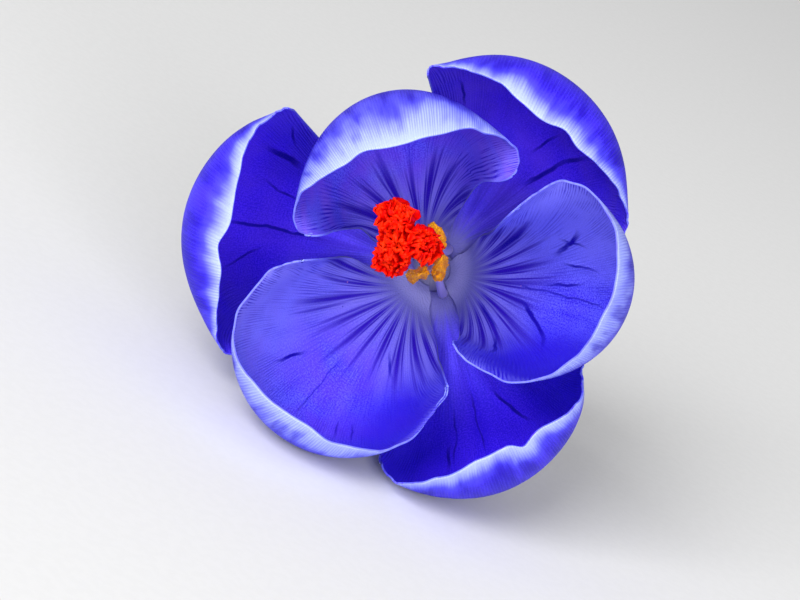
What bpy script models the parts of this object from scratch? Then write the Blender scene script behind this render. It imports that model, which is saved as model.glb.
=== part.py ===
"""A picked crocus flower that lies on its side: six tepals in two whorls round the throat of the
perianth tube, with three stamens and the style with its frilled stigma.

Sizes are in millimetres and degrees. The flower is built upright, with the middle of its throat at the
origin and the cup's mouth above it. An empty then lays the whole flower down on its two lowest tepals
and on the cut end of its tube.
"""

import math
from typing import NamedTuple

import bmesh
import bpy
import numpy as np
from mathutils import Matrix, Vector

MM = 0.001
SEAT_GAP = 0.3  # between pieces that touch or grow together in the real flower

# How the flower lies: the rise of its axis, and the side of the cup that is down
AXIS_RISE = 13.54
DOWN_AZIMUTH = 243.08

# Tepals
TEPAL_THICKNESS = 0.6
TEPAL_CELLS_ACROSS = 16
TEPAL_CELLS_ALONG = 15
MIDRIB_STEPS = 120
SWEEP_ONSET = 1.5  # a tepal leans sideways more and more towards its tip
TIP_ROUNDNESS = 0.95
RIM_WAVE = 0.3
RIM_WAVE_NARROWNESS = 5
LONG_WAVES = 7.0
SHORT_WAVES = 11.0

# Perianth tube
TUBE_LENGTH = 50.0
TUBE_RADIUS = 1.7
TUBE_WALL = 0.8
FLARE_DEPTH = 9.0
FLARE_RIM_SLOPE = 28.0
FLARE_RIM_HANDLE = 2.2
FLARE_FOOT_HANDLE = 5.4
FLARE_STEPS = 9
TUBE_STEPS = 8
TUBE_SIDES = 20
TUBE_BOW = 2.0
TUBE_BOW_AZIMUTH = 215.0

# Style and stigma
STYLE_RADIUS = 0.45
STYLE_TOP = Vector((-2.6, 4.35, 23.4))
STYLE_LEAN_ONSET = 1.4
STYLE_STEPS = 24
STIGMA_KNOB_RADIUS = 0.9
BRANCH_FOOT_RADIUS = 0.5
BRANCH_FLARE = 1.6
BRANCH_WALL = 0.6
BRANCH_SIDES = 30
BRANCH_STEPS = 6
FRILLS = 5
FRILL_WAVE = 0.32

# Stamens
ANTHER_LENGTH = 10.0
ANTHER_HALF_WIDTH = 0.95
ANTHER_HALF_DEPTH = 0.75
ANTHER_TAPER = 0.25
ANTHER_FURROW = 0.4
ANTHER_FURROW_WIDTH = 0.35
ANTHER_NOTCH = 0.9
ANTHER_FOOT_HEIGHT = 10.5
FILAMENT_FOOT_RADIUS = 0.42
FILAMENT_TOP_RADIUS = 0.32
FILAMENT_SEAT = 0.65  # where it stands on the flare, as a share of the way up to the rim
FILAMENT_HANDLE = 3.5
FILAMENT_STEPS = 10
ANTHER_FOOT_SPLAY = 0.6  # as a share of the splay at its tip


class Whorl(NamedTuple):
    """What the three tepals of a ring share: where and how wide they leave the throat."""

    ring_radius: float
    ring_height: float
    foot_half_width: float
    foot_arc: float
    shoulder: float  # above 1 the blade stays narrow for longer


class Tepal(NamedTuple):
    """One tepal. Its slopes are those of its midrib above the horizontal, past 90 where it hoods over."""

    whorl: Whorl
    azimuth: float
    sweep: float
    twist: float
    length: float
    half_width: float
    widest_at: float
    foot_slope: float
    tip_slope: float
    curl: float
    foot_hollow: float
    tip_hollow: float


class Branch(NamedTuple):
    """One branch of the stigma: which way it leans off the style, how far, and how long and wide it is."""

    azimuth: float
    spread: float
    length: float
    mouth_radius: float


class Stamen(NamedTuple):
    """One stamen: where it stands on the throat, and where its anther's tip is round the style."""

    foot_azimuth: float
    tip_azimuth: float
    splay: float


OUTER = Whorl(ring_radius=5.0, ring_height=0.2, foot_half_width=3.3, foot_arc=0.9, shoulder=1.3)
INNER = Whorl(ring_radius=4.0, ring_height=0.65, foot_half_width=2.9, foot_arc=0.7, shoulder=1.15)

TEPALS = {
    "outer_tepal_1": Tepal(
        whorl=OUTER, azimuth=54, sweep=0, twist=-4, length=40.5, half_width=17.5, widest_at=0.76,
        foot_slope=24, tip_slope=156, curl=2.3, foot_hollow=9.5, tip_hollow=16,
    ),
    "outer_tepal_2": Tepal(
        whorl=OUTER, azimuth=160, sweep=7, twist=5, length=42, half_width=16.5, widest_at=0.76,
        foot_slope=24, tip_slope=161, curl=2.5, foot_hollow=10.5, tip_hollow=16,
    ),
    "outer_tepal_3": Tepal(
        whorl=OUTER, azimuth=291, sweep=2, twist=5, length=41, half_width=15.5, widest_at=0.66,
        foot_slope=29, tip_slope=147, curl=1.9, foot_hollow=12, tip_hollow=13,
    ),
    "inner_tepal_1": Tepal(
        whorl=INNER, azimuth=110, sweep=-4, twist=2, length=41.5, half_width=19, widest_at=0.72,
        foot_slope=38, tip_slope=151, curl=2.2, foot_hollow=5, tip_hollow=13.5,
    ),
    "inner_tepal_2": Tepal(
        whorl=INNER, azimuth=222, sweep=5, twist=13, length=40.5, half_width=22.5, widest_at=0.6,
        foot_slope=40, tip_slope=137, curl=2.6, foot_hollow=7.5, tip_hollow=12,
    ),
    "inner_tepal_3": Tepal(
        whorl=INNER, azimuth=348, sweep=7, twist=-15, length=41.5, half_width=21.5, widest_at=0.6,
        foot_slope=43, tip_slope=124, curl=2.0, foot_hollow=5, tip_hollow=11.5,
    ),
}

BRANCHES = (
    Branch(azimuth=104, spread=28, length=4.8, mouth_radius=1.9),
    Branch(azimuth=262, spread=28, length=5.2, mouth_radius=1.9),
    Branch(azimuth=342, spread=23, length=4.6, mouth_radius=1.6),
)

STAMENS = (
    Stamen(foot_azimuth=54, tip_azimuth=50, splay=3.9),
    Stamen(foot_azimuth=163, tip_azimuth=287, splay=2.6),
    Stamen(foot_azimuth=293, tip_azimuth=345, splay=3.2),
)

# Colour, roughness and metallic value of each material
FINISHES = {
    "outer_tepal": ((0.10, 0.04, 0.80), 0.55, 0.0),
    "inner_tepal": ((0.22, 0.14, 0.90), 0.55, 0.0),
    "perianth_tube": ((0.72, 0.70, 0.90), 0.55, 0.0),
    "filament": ((0.90, 0.82, 0.60), 0.60, 0.0),
    "anther": ((0.95, 0.50, 0.05), 0.80, 0.0),
    "style": ((0.95, 0.45, 0.10), 0.55, 0.0),
    "stigma": ((0.90, 0.10, 0.01), 0.50, 0.0),
}


def clear_scene():
    """Empty the scene of its objects."""
    for obj in list(bpy.data.objects):
        bpy.data.objects.remove(obj, do_unlink=True)


def new_collection(name):
    """A collection of that name in the scene."""
    collection = bpy.data.collections.new(name)
    bpy.context.scene.collection.children.link(collection)
    return collection


def new_material(name):
    """A plain Principled material with the finish of that name."""
    color, roughness, metallic = FINISHES[name]
    material = bpy.data.materials.new(name)
    material.use_nodes = True
    shader = material.node_tree.nodes["Principled BSDF"]
    shader.inputs["Base Color"].default_value = (*color, 1.0)
    shader.inputs["Roughness"].default_value = roughness
    shader.inputs["Metallic"].default_value = metallic
    return material


def object_from(name, data, collection):
    """An object of that name in the collection, with every face shaded smooth."""
    obj = bpy.data.objects.new(name, data)
    collection.objects.link(obj)
    if isinstance(data, bpy.types.Mesh):
        data.shade_smooth()
    return obj


def baked(obj):
    """The object's mesh with its modifiers applied and the object itself removed."""
    bpy.context.view_layer.update()
    graph = bpy.context.evaluated_depsgraph_get()
    mesh = bpy.data.meshes.new_from_object(obj.evaluated_get(graph))
    bpy.data.objects.remove(obj, do_unlink=True)
    return mesh


def reshape(mesh, place):
    """Move every vertex to place(points), where points is an array of x, y, z rows."""
    points = np.empty(len(mesh.vertices) * 3)
    mesh.vertices.foreach_get("co", points)
    moved = place(points.reshape(-1, 3))
    mesh.vertices.foreach_set("co", moved.ravel())
    mesh.update()


def mesh_from(bm, name):
    """A mesh made from the bmesh, which is then freed."""
    mesh = bpy.data.meshes.new(name)
    bm.to_mesh(mesh)
    bm.free()
    return mesh


def outward(azimuth):
    """The horizontal direction at that azimuth, in degrees from +X towards +Y."""
    angle = math.radians(azimuth)
    return Vector((math.cos(angle), math.sin(angle), 0.0))


def bezier(start, start_handle, end_handle, end, share):
    """The point at that share of the way along a curve between two ends with their handles."""
    rest = 1 - share
    return (
        start * rest**3
        + start_handle * 3 * rest**2 * share
        + end_handle * 3 * rest * share**2
        + end * share**3
    )


def midrib(tepal):
    """Radius, height and slope along a tepal's midrib, from the throat to the tip."""
    share = np.linspace(0.0, 1.0, MIDRIB_STEPS + 1)
    rise = tepal.tip_slope - tepal.foot_slope
    slope = np.radians(tepal.foot_slope + rise * share**tepal.curl)
    middle = (slope[1:] + slope[:-1]) / 2
    step = tepal.length / MIDRIB_STEPS
    radius = tepal.whorl.ring_radius + np.concatenate([[0.0], np.cumsum(np.cos(middle)) * step])
    height = tepal.whorl.ring_height + np.concatenate([[0.0], np.cumsum(np.sin(middle)) * step])
    return share, radius, height, slope


def blade_outline(tepal, u, v):
    """Flat width and length of the blade at u, -1 to 1 across, and v, 0 to 1 from foot to rim."""
    whorl = tepal.whorl
    v = v.clip(0.0, 1.0)
    widest = tepal.widest_at * tepal.length
    turn = u * math.pi / 2
    rim_width = tepal.half_width * np.sin(turn)
    rim_length = widest + (tepal.length - widest) * np.cos(turn).clip(0.0, 1.0) ** TIP_ROUNDNESS
    fullness = np.sin(v * math.pi / 2) ** whorl.shoulder
    across = rim_width * fullness + u * whorl.foot_half_width * (1 - fullness)
    along = rim_length * v - whorl.foot_arc * u**2 * (1 - v) ** 2
    return across, along


def blade_point(tepal, across, along):
    """Points on a tepal's middle surface: the flat blade is hollowed across and rolled along its midrib."""
    share, radius, height, slope = midrib(tepal)
    part = (along / tepal.length).clip(0.0, 1.0)
    beyond = along - part * tepal.length
    lean = np.interp(part, share, slope)
    r = np.interp(part, share, radius) + beyond * np.cos(lean)
    z = np.interp(part, share, height) + beyond * np.sin(lean)
    hollow = tepal.foot_hollow + (tepal.tip_hollow - tepal.foot_hollow) * part
    side = np.sin(across / hollow) * hollow
    depth = (1 - np.cos(across / hollow)) * hollow
    twist = np.radians(tepal.twist) * part
    side, depth = (
        np.cos(twist) * side - np.sin(twist) * depth,
        np.sin(twist) * side + np.cos(twist) * depth,
    )
    azimuth = np.radians(tepal.azimuth + tepal.sweep * part**SWEEP_ONSET)
    reach = r - depth * np.sin(lean)
    return np.stack(
        [
            reach * np.cos(azimuth) - side * np.sin(azimuth),
            reach * np.sin(azimuth) + side * np.cos(azimuth),
            z + depth * np.cos(lean),
        ],
        axis=-1,
    )


def rim_wave(tepal, u, v):
    """How far the blade waves off its middle surface: most at its sides and rim, not at all inside."""
    side = abs(u) ** RIM_WAVE_NARROWNESS
    rim = v**RIM_WAVE_NARROWNESS
    nearness = side * v * (1 - rim) + rim * (1 - side)
    phase = np.radians(tepal.azimuth)
    wave = np.sin(LONG_WAVES * u + phase) + np.sin(SHORT_WAVES * u - 2 * phase) / 2
    return RIM_WAVE * nearness * wave


def waved_tepal(tepal, u, v):
    """Points on a tepal with the waves of its rim."""
    across, along = blade_outline(tepal, u, v)
    step = 0.01
    run_across = blade_point(tepal, across + step, along) - blade_point(tepal, across - step, along)
    run_along = blade_point(tepal, across, along + step) - blade_point(tepal, across, along - step)
    normal = np.cross(run_across, run_along)
    normal /= np.linalg.norm(normal, axis=-1, keepdims=True)
    return blade_point(tepal, across, along) + rim_wave(tepal, u, v)[:, None] * normal


def build_tepal(name, tepal, material, collection):
    """A tepal: a grid bent to the blade's shape, split into triangles and given its thickness."""
    bm = bmesh.new()
    bmesh.ops.create_grid(bm, x_segments=TEPAL_CELLS_ACROSS, y_segments=TEPAL_CELLS_ALONG, size=1.0)
    mesh = mesh_from(bm, name)
    reshape(mesh, lambda flat: waved_tepal(tepal, flat[:, 0], (flat[:, 1] + 1) / 2) * MM)
    mesh.materials.append(material)
    obj = object_from(name, mesh, collection)
    obj.modifiers.new("triangles", "TRIANGULATE").quad_method = "FIXED"
    blade = obj.modifiers.new("thickness", "SOLIDIFY")
    blade.thickness = TEPAL_THICKNESS * MM
    blade.offset = 0.0
    return obj


def flare_point(share):
    """Middle of the throat's wall, as a radius and a height, from the tube up to the rim."""
    slope = math.radians(FLARE_RIM_SLOPE)
    run = Vector((math.cos(slope), math.sin(slope)))
    tube_radius = TUBE_RADIUS - TUBE_WALL / 2
    rim = Vector((OUTER.ring_radius, OUTER.ring_height)) - run * SEAT_GAP
    foot = Vector((tube_radius, -FLARE_DEPTH))
    foot_handle = foot + Vector((0.0, FLARE_FOOT_HANDLE))
    return bezier(foot, foot_handle, rim - run * FLARE_RIM_HANDLE, rim, share)


def flare_normal(share):
    """Direction out of the throat's wall, towards its inside."""
    run = (flare_point(min(share + 0.01, 1.0)) - flare_point(max(share - 0.01, 0.0))).normalized()
    return Vector((-run.y, run.x))


def tube_profile():
    """Outline of the tube's wall as radius and height: down its outer side, then up its inner side."""
    shares = [step / FLARE_STEPS for step in range(FLARE_STEPS + 1)]
    half_walls = [TUBE_WALL / 2 + (TEPAL_THICKNESS - TUBE_WALL) / 2 * share for share in shares]
    outer = [flare_point(s) - flare_normal(s) * half for s, half in zip(shares, half_walls)]
    inner = [flare_point(s) + flare_normal(s) * half for s, half in zip(shares, half_walls)]
    straight = TUBE_LENGTH - FLARE_DEPTH
    heights = [-FLARE_DEPTH - straight * step / TUBE_STEPS for step in range(1, TUBE_STEPS + 1)]
    outer_below = [Vector((TUBE_RADIUS, height)) for height in heights]
    inner_below = [Vector((TUBE_RADIUS - TUBE_WALL, height)) for height in heights]
    return outer[::-1] + outer_below + inner_below[::-1] + inner


def bow(height):
    """How far the tube bends sideways at a height below the throat."""
    share = np.minimum(height, 0.0) / TUBE_LENGTH
    return TUBE_BOW * share**2


def build_tube(material, collection):
    """The perianth tube: its wall's outline turned round the axis, then bowed."""
    name = "perianth_tube"
    bm = bmesh.new()
    verts = [bm.verts.new((point.x * MM, 0.0, point.y * MM)) for point in tube_profile()]
    for start, end in zip(verts, verts[1:] + verts[:1]):
        bm.edges.new((start, end))
    outline = object_from(name, mesh_from(bm, name), collection)
    turned = outline.modifiers.new("turned", "SCREW")
    turned.steps = TUBE_SIDES
    turned.render_steps = TUBE_SIDES
    turned.use_merge_vertices = True
    turned.merge_threshold = 0.01 * MM
    mesh = baked(outline)
    side = np.array(outward(TUBE_BOW_AZIMUTH))
    reshape(mesh, lambda points: points + np.outer(bow(points[:, 2] / MM), side) * MM)
    mesh.materials.append(material)
    return object_from(name, mesh, collection)


def build_thread(name, points, radii, material, collection):
    """A round thread through the points, with its own radius at each."""
    curve = bpy.data.curves.new(name, "CURVE")
    curve.dimensions = "3D"
    curve.bevel_depth = MM
    curve.bevel_resolution = 2
    curve.use_fill_caps = True
    spline = curve.splines.new("POLY")
    spline.points.add(len(points) - 1)
    for spot, point, radius in zip(spline.points, points, radii):
        spot.co = (*(point * MM), 1.0)
        spot.radius = radius
    curve.materials.append(material)
    return object_from(name, curve, collection)


def style_point(height):
    """The style's middle at that height: bowed with the tube below, leaning above the throat."""
    if height < 0.0:
        return outward(TUBE_BOW_AZIMUTH) * float(bow(height)) + Vector((0.0, 0.0, height))
    lean = (height / STYLE_TOP.z) ** STYLE_LEAN_ONSET
    return Vector((STYLE_TOP.x * lean, STYLE_TOP.y * lean, height))


def style_direction():
    """Direction of the style at its top."""
    return (style_point(STYLE_TOP.z) - style_point(STYLE_TOP.z - 0.5)).normalized()


def build_style(material, collection):
    """The style, from the tube's cut end to just under the stigma."""
    foot = -TUBE_LENGTH
    top = STYLE_TOP.z
    heights = [foot + (top - foot) * step / STYLE_STEPS for step in range(STYLE_STEPS + 1)]
    points = [style_point(height) for height in heights]
    return build_thread("style", points, [STYLE_RADIUS] * len(points), material, collection)


def branch_surface(branch, u, v):
    """Points on a stigma branch's middle surface: a trumpet whose mouth is frilled."""
    angle = u * 2 * math.pi
    phase = math.radians(branch.azimuth)
    frill = FRILL_WAVE * v**2
    widening = (branch.mouth_radius - BRANCH_FOOT_RADIUS) * v**BRANCH_FLARE
    radius = BRANCH_FOOT_RADIUS + widening + frill * np.cos(FRILLS * angle + phase)
    height = branch.length * v + frill * np.sin(FRILLS * angle + 2 * phase)
    return np.stack([radius * np.cos(angle), radius * np.sin(angle), height], axis=-1)


def build_branch(branch, collection):
    """One branch of the stigma as a closed trumpet that leans out from the origin."""
    bm = bmesh.new()
    bmesh.ops.create_grid(bm, x_segments=BRANCH_SIDES, y_segments=BRANCH_STEPS, size=0.5)
    mesh = mesh_from(bm, "branch")
    reshape(mesh, lambda flat: branch_surface(branch, flat[:, 0] + 0.5, flat[:, 1] + 0.5) * MM)
    sheet = object_from("branch", mesh, collection)
    seam = sheet.modifiers.new("seam", "WELD")
    seam.merge_threshold = 0.01 * MM
    sheet.modifiers.new("triangles", "TRIANGULATE").quad_method = "FIXED"
    wall = sheet.modifiers.new("wall", "SOLIDIFY")
    wall.thickness = BRANCH_WALL * MM
    wall.offset = 0.0
    trumpet = object_from("branch", baked(sheet), collection)
    tilt = Matrix.Rotation(math.radians(branch.spread), 4, "Y")
    turn = Matrix.Rotation(math.radians(branch.azimuth), 4, "Z")
    trumpet.data.transform(turn @ tilt)
    return trumpet


def build_stigma(material, collection):
    """The stigma: three trumpet-shaped branches joined to a knob at the style's top."""
    name = "stigma"
    branches = new_collection("stigma_branches")
    for branch in BRANCHES:
        build_branch(branch, branches)
    bm = bmesh.new()
    bmesh.ops.create_icosphere(bm, subdivisions=2, radius=STIGMA_KNOB_RADIUS * MM)
    knob = object_from(name, mesh_from(bm, name), collection)
    joined = knob.modifiers.new("branches", "BOOLEAN")
    joined.operation = "UNION"
    joined.operand_type = "COLLECTION"
    joined.collection = branches
    mesh = baked(knob)
    for trumpet in list(branches.objects):
        bpy.data.objects.remove(trumpet, do_unlink=True)
    bpy.data.collections.remove(branches)
    axis = style_direction()
    foot = STYLE_TOP + axis * (STIGMA_KNOB_RADIUS + SEAT_GAP)
    lean = Vector((0.0, 0.0, 1.0)).rotation_difference(axis).to_matrix().to_4x4()
    mesh.transform(Matrix.Translation(foot * MM) @ lean)
    mesh.materials.clear()
    mesh.materials.append(material)
    return object_from(name, mesh, collection)


def anther_ends(stamen):
    """Foot and tip of a stamen's anther, which stands beside the leaning style."""
    middle = outward((stamen.foot_azimuth + stamen.tip_azimuth) / 2)
    foot = style_point(ANTHER_FOOT_HEIGHT) + middle * (stamen.splay * ANTHER_FOOT_SPLAY)
    tip = style_point(ANTHER_FOOT_HEIGHT + ANTHER_LENGTH) + outward(stamen.tip_azimuth) * stamen.splay
    return foot, foot + (tip - foot).normalized() * ANTHER_LENGTH


def anther_shape(points):
    """A unit ball drawn out to an anther: two pollen sacs with a furrow between, notched at the foot."""
    x, y, z = points.T
    middle = np.exp(-((x / ANTHER_FURROW_WIDTH) ** 2))
    furrow = 1 - ANTHER_FURROW * middle
    taper = 1 - ANTHER_TAPER * (z + 1) / 2
    notch = ANTHER_NOTCH * middle * np.clip(-z - 0.5, 0.0, 0.5) * 2
    return np.stack(
        [
            x * ANTHER_HALF_WIDTH * taper,
            y * ANTHER_HALF_DEPTH * taper * furrow,
            z * ANTHER_LENGTH / 2 + notch,
        ],
        axis=-1,
    )


def build_anther(name, stamen, material, collection):
    """An anther between its foot and its tip, its furrow turned away from the style."""
    bm = bmesh.new()
    bmesh.ops.create_uvsphere(bm, u_segments=14, v_segments=10, radius=1.0)
    mesh = mesh_from(bm, name)
    reshape(mesh, lambda points: anther_shape(points) * MM)
    foot, tip = anther_ends(stamen)
    upright = (tip - foot).normalized()
    away = outward(stamen.tip_azimuth)
    side = away.cross(upright).normalized()
    face = upright.cross(side)
    turn = Matrix((side, face, upright)).transposed().to_4x4()
    mesh.transform(Matrix.Translation((foot + tip) / 2 * MM) @ turn)
    mesh.materials.append(material)
    return object_from(name, mesh, collection)


def build_filament(name, stamen, material, collection):
    """A filament from the wall of the throat up to its anther's foot."""
    wall = flare_point(FILAMENT_SEAT) + flare_normal(FILAMENT_SEAT) * (
        TUBE_WALL / 2 + SEAT_GAP + FILAMENT_FOOT_RADIUS
    )
    foot = outward(stamen.foot_azimuth) * wall.x + Vector((0.0, 0.0, wall.y))
    anther_foot, anther_tip = anther_ends(stamen)
    direction = (anther_tip - anther_foot).normalized()
    top = anther_foot - direction * SEAT_GAP
    foot_handle = foot + Vector((0.0, 0.0, FILAMENT_HANDLE))
    top_handle = top - direction * FILAMENT_HANDLE
    shares = [step / FILAMENT_STEPS for step in range(FILAMENT_STEPS + 1)]
    points = [bezier(foot, foot_handle, top_handle, top, share) for share in shares]
    thinning = FILAMENT_TOP_RADIUS - FILAMENT_FOOT_RADIUS
    radii = [FILAMENT_FOOT_RADIUS + thinning * share for share in shares]
    return build_thread(name, points, radii, material, collection)


def world_points(obj):
    """The object's evaluated vertices in the world."""
    graph = bpy.context.evaluated_depsgraph_get()
    evaluated = obj.evaluated_get(graph)
    mesh = evaluated.to_mesh()
    points = [evaluated.matrix_world @ vertex.co for vertex in mesh.vertices]
    evaluated.to_mesh_clear()
    return points


def lay_down(flower, pieces):
    """Turn the flower to how it lies, and set it on the ground with the middle of its bounds over 0, 0."""
    roll = Matrix.Rotation(-math.radians(DOWN_AZIMUTH + 90.0), 4, "Z")
    fall = Matrix.Rotation(math.radians(90.0 - AXIS_RISE), 4, "X")
    flower.matrix_world = fall @ roll
    bpy.context.view_layer.update()
    points = [point for piece in pieces for point in world_points(piece)]
    low = Vector([min(point[axis] for point in points) for axis in range(3)])
    high = Vector([max(point[axis] for point in points) for axis in range(3)])
    middle = (low + high) / 2
    flower.location = (-middle.x, -middle.y, -low.z)


def main():
    clear_scene()
    collection = new_collection("crocus_flower")
    materials = {name: new_material(name) for name in FINISHES}
    pieces = [build_tube(materials["perianth_tube"], collection)]
    for name, tepal in TEPALS.items():
        kind = name.rsplit("_", 1)[0]
        pieces.append(build_tepal(name, tepal, materials[kind], collection))
    for number, stamen in enumerate(STAMENS, start=1):
        pieces.append(build_filament(f"filament_{number}", stamen, materials["filament"], collection))
        pieces.append(build_anther(f"anther_{number}", stamen, materials["anther"], collection))
    pieces.append(build_style(materials["style"], collection))
    pieces.append(build_stigma(materials["stigma"], collection))
    flower = bpy.data.objects.new("crocus_flower", None)
    collection.objects.link(flower)
    for piece in pieces:
        piece.parent = flower
    lay_down(flower, pieces)


main()
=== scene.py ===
"""Looks of a picked crocus flower that lies on its side: six veined tepals in two whorls round a pale
throat, three golden stamens, and a style with a frilled orange stigma.

Sizes of the flower are in millimetres and degrees, in the flower's own place: the middle of its throat is
the origin, and the cup's mouth is above it. Every piece is laid down into the world as it is made.
"""

import itertools
import math
from typing import NamedTuple

import bpy
import numpy as np
from bpy.props import FloatProperty, FloatVectorProperty, IntProperty, PointerProperty
from mathutils import Matrix, Vector, noise


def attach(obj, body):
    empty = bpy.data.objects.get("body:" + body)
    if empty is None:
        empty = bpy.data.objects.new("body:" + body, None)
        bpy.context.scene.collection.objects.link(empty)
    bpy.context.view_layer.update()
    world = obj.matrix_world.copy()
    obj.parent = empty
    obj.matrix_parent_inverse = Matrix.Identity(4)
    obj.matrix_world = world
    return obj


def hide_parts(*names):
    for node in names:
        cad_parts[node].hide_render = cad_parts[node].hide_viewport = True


bl_info = {
    "name": "Crocus Flower",
    "version": (1, 0, 0),
    "blender": (4, 5, 0),
    "location": "View3D > Sidebar > Crocus",
    "description": "Dresses a picked crocus flower with veined tepals, stamens and a frilled stigma",
    "category": "Object",
}

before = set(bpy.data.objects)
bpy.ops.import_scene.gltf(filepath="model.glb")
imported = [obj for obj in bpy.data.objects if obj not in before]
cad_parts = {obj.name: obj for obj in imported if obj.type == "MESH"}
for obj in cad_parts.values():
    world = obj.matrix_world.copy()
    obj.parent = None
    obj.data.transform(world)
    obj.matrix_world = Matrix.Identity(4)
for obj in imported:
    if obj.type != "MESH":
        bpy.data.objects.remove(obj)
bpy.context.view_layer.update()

MM = 0.001

# How the flower lies
THROAT = Vector((3.467, -6.0, 15.058))
AXIS_RISE = 13.54
DOWN_AZIMUTH = 243.08

# Tepal form
MIDRIB_STEPS = 120
SWEEP_ONSET = 1.5
TIP_ROUNDNESS = 0.95
NICK_NARROWNESS = 12
RIM_WAVE = 0.3
RIM_WAVE_NARROWNESS = 5
LONG_WAVES = 7.0
SHORT_WAVES = 11.0
RIPPLE_NARROWNESS = 14
LONG_RIPPLES = 17
SHORT_RIPPLES = 29
BLUNT_HEIGHTS = (4.0, 9.0)  # above the throat, between which the blunting of corners sets in
BLUNT_SOFTNESS = 1.0
CLAW_TAIL = 3.2  # how far the blade runs on down the wall of the throat
CLAW_NARROWING = 0.15
CLAW_LIFT = 0.35
CLAW_SINK = 0.45
CLAW_BLEND = 0.8  # share of the tail after which the blade lies on the wall
OUTER_FACE = 0.3  # from the middle surface to the outside of the solid
NORMAL_STEP = 0.01
TEPAL_COLUMNS = 150
TEPAL_ROWS = 140
OUTLINE_STEPS = 240

# How the veins fan out, seen from above the throat: from a centre at this radius, ever wider
FAN_CENTER = 2.4
FAN_START = 5.0
FAN_REACH = 33.0
FAN_OPENING = 0.25

# Perianth tube
TUBE_LENGTH = 50.0
TUBE_RADIUS = 1.7
TUBE_WALL = 0.8
RIM_WALL = 0.6
FLARE_DEPTH = 9.0
FLARE_RIM_RADIUS = 5.0
FLARE_RIM_HEIGHT = 0.2
FLARE_RIM_SLOPE = 28.0
FLARE_RIM_HANDLE = 2.2
FLARE_FOOT_HANDLE = 5.4
LIP_THINNING = 0.42  # how much thinner the wall is at its rim, under the claws
LIP_ONSET = 0.6  # share of the way up the flare at which the thinning starts
TUBE_BOW = 2.0
TUBE_BOW_AZIMUTH = 215.0
TUBE_RIBS = 6
TUBE_RIB_HEIGHT = 0.02  # as a share of the radius
TUBE_STEPS = 28
TUBE_VEINS = 18
THROAT_STEPS = 80

# Stigma, style and stamens
STIGMA_FILLS = (1.0, 0.64, 0.28)  # sizes of the trumpets that stand one in another
CRUMPLE_FINENESS = 0.8
CRUMPLE_RATIO = 3  # how many times finer, and weaker, the second crumpling is
CRUMPLE_SEED = 3
DOME = 0.9  # how far the innermost frills stand above the outermost
NECK_RADIUS = 0.4  # of a trumpet, where it leaves the knob
FRILL_COLUMNS = 210
FRILL_ROWS = 18
KNOB_RADIUS = 0.85
KNOB_SEGMENTS = 32
KNOB_RINGS = 24
KNOB_LIFT = 1.2  # from the style's top to the knob's middle
STYLE_TOP = Vector((-2.6, 4.35, 23.4))
STYLE_LEAN_ONSET = 1.4
STYLE_OVERRUN = 0.6  # how far the style runs on into the knob
STYLE_FLARE = 0.35  # how much thicker it is there
STYLE_POINTS = 90
STYLE_ROWS = 150
THREAD_SIDES = 20
ANTHER_LENGTH = 10.0
ANTHER_HALF_WIDTH = 0.95
ANTHER_HALF_DEPTH = 0.75
ANTHER_TAPER = 0.25
ANTHER_FURROW = 0.48
ANTHER_FURROW_WIDTH = 0.35
ANTHER_NOTCH = 0.9
ANTHER_DUST = 0.22  # of pollen all round
ANTHER_CRUMBS = 0.2
CRUMB_FINENESS = 3.2
ANTHER_FOOT_HEIGHT = 10.5
ANTHER_FOOT_SPLAY = 0.6
ANTHER_SEGMENTS = 128
ANTHER_RINGS = 150
FILAMENT_SEAT = 0.65  # share of the way up the flare
FILAMENT_HANDLE = 3.5
FILAMENT_OVERRUN = 0.8  # how far a filament runs on into its anther
FILAMENT_POINTS = 40
FILAMENT_ROWS = 60

# How sheets that close on themselves are joined
MERGE_DISTANCE = 0.0001

# Skin of the tepals: its gloss, and how fine its clouds are in a millimetre or a radian of the fan
PETAL_GLOSS = 0.12
INSIDE_GRAIN = 5.0
INSIDE_PATCH = 0.16
INSIDE_RAY = 5.5
OUTSIDE_GRAIN = 4.5
OUTSIDE_PATCH = 5.0
OUTSIDE_RAY = 12.0
PETAL_RELIEF = 0.08

# Clouds on the stigma, the anthers and the floor, and grains of pollen, in a metre
FOLD_PATCHES = 900.0
FOLD_GRAINS = 5200.0
POLLEN_PATCHES = 1300.0
POLLEN_GRAINS = 5500.0
PAPER_TOOTH = 900.0

# Stage, about the flower's own place
VIEW_DISTANCE = 320.0
VIEW_TILT = 4.0
VIEW_HEIGHT = 15.0  # of the point looked at, above the throat
VIEW_SHIFT = (-0.04125, -0.025)
SENSOR_WIDTH = 36.0
NEAR_CLIP = 0.01  # in metres
KEY_PLACE = Vector((-320.0, 700.0, 1280.0))
FILL_PLACE = Vector((350.0, -150.0, 1400.0))
LIGHT_SIZE = 0.8  # in metres
FLOOR_SIZE = 6.0  # in metres


class Whorl(NamedTuple):
    """What the three tepals of a ring share: where and how wide they leave the throat."""

    ring_radius: float
    ring_height: float
    foot_half_width: float
    foot_arc: float
    shoulder: float


class Tepal(NamedTuple):
    """One tepal, with the slopes of its midrib above the horizontal, past 90 where it hoods over."""

    whorl: Whorl
    azimuth: float
    sweep: float
    twist: float
    length: float
    half_width: float
    widest_at: float
    foot_slope: float
    tip_slope: float
    curl: float
    foot_hollow: float
    tip_hollow: float
    low_bend: float = 9.0  # radians from the midrib, past which the lower side goes on straight
    high_bend: float = 9.0  # the same on the side that is further round


class Nick(NamedTuple):
    """A small step in a tepal's rim: where it is across the blade, how deep it is and how wide."""

    across: float
    depth: float
    width: float


class Blunt(NamedTuple):
    """A corner that is pushed back where it stands out past a distance from the axis, that way."""

    azimuth: float
    distance: float
    share: float


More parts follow.
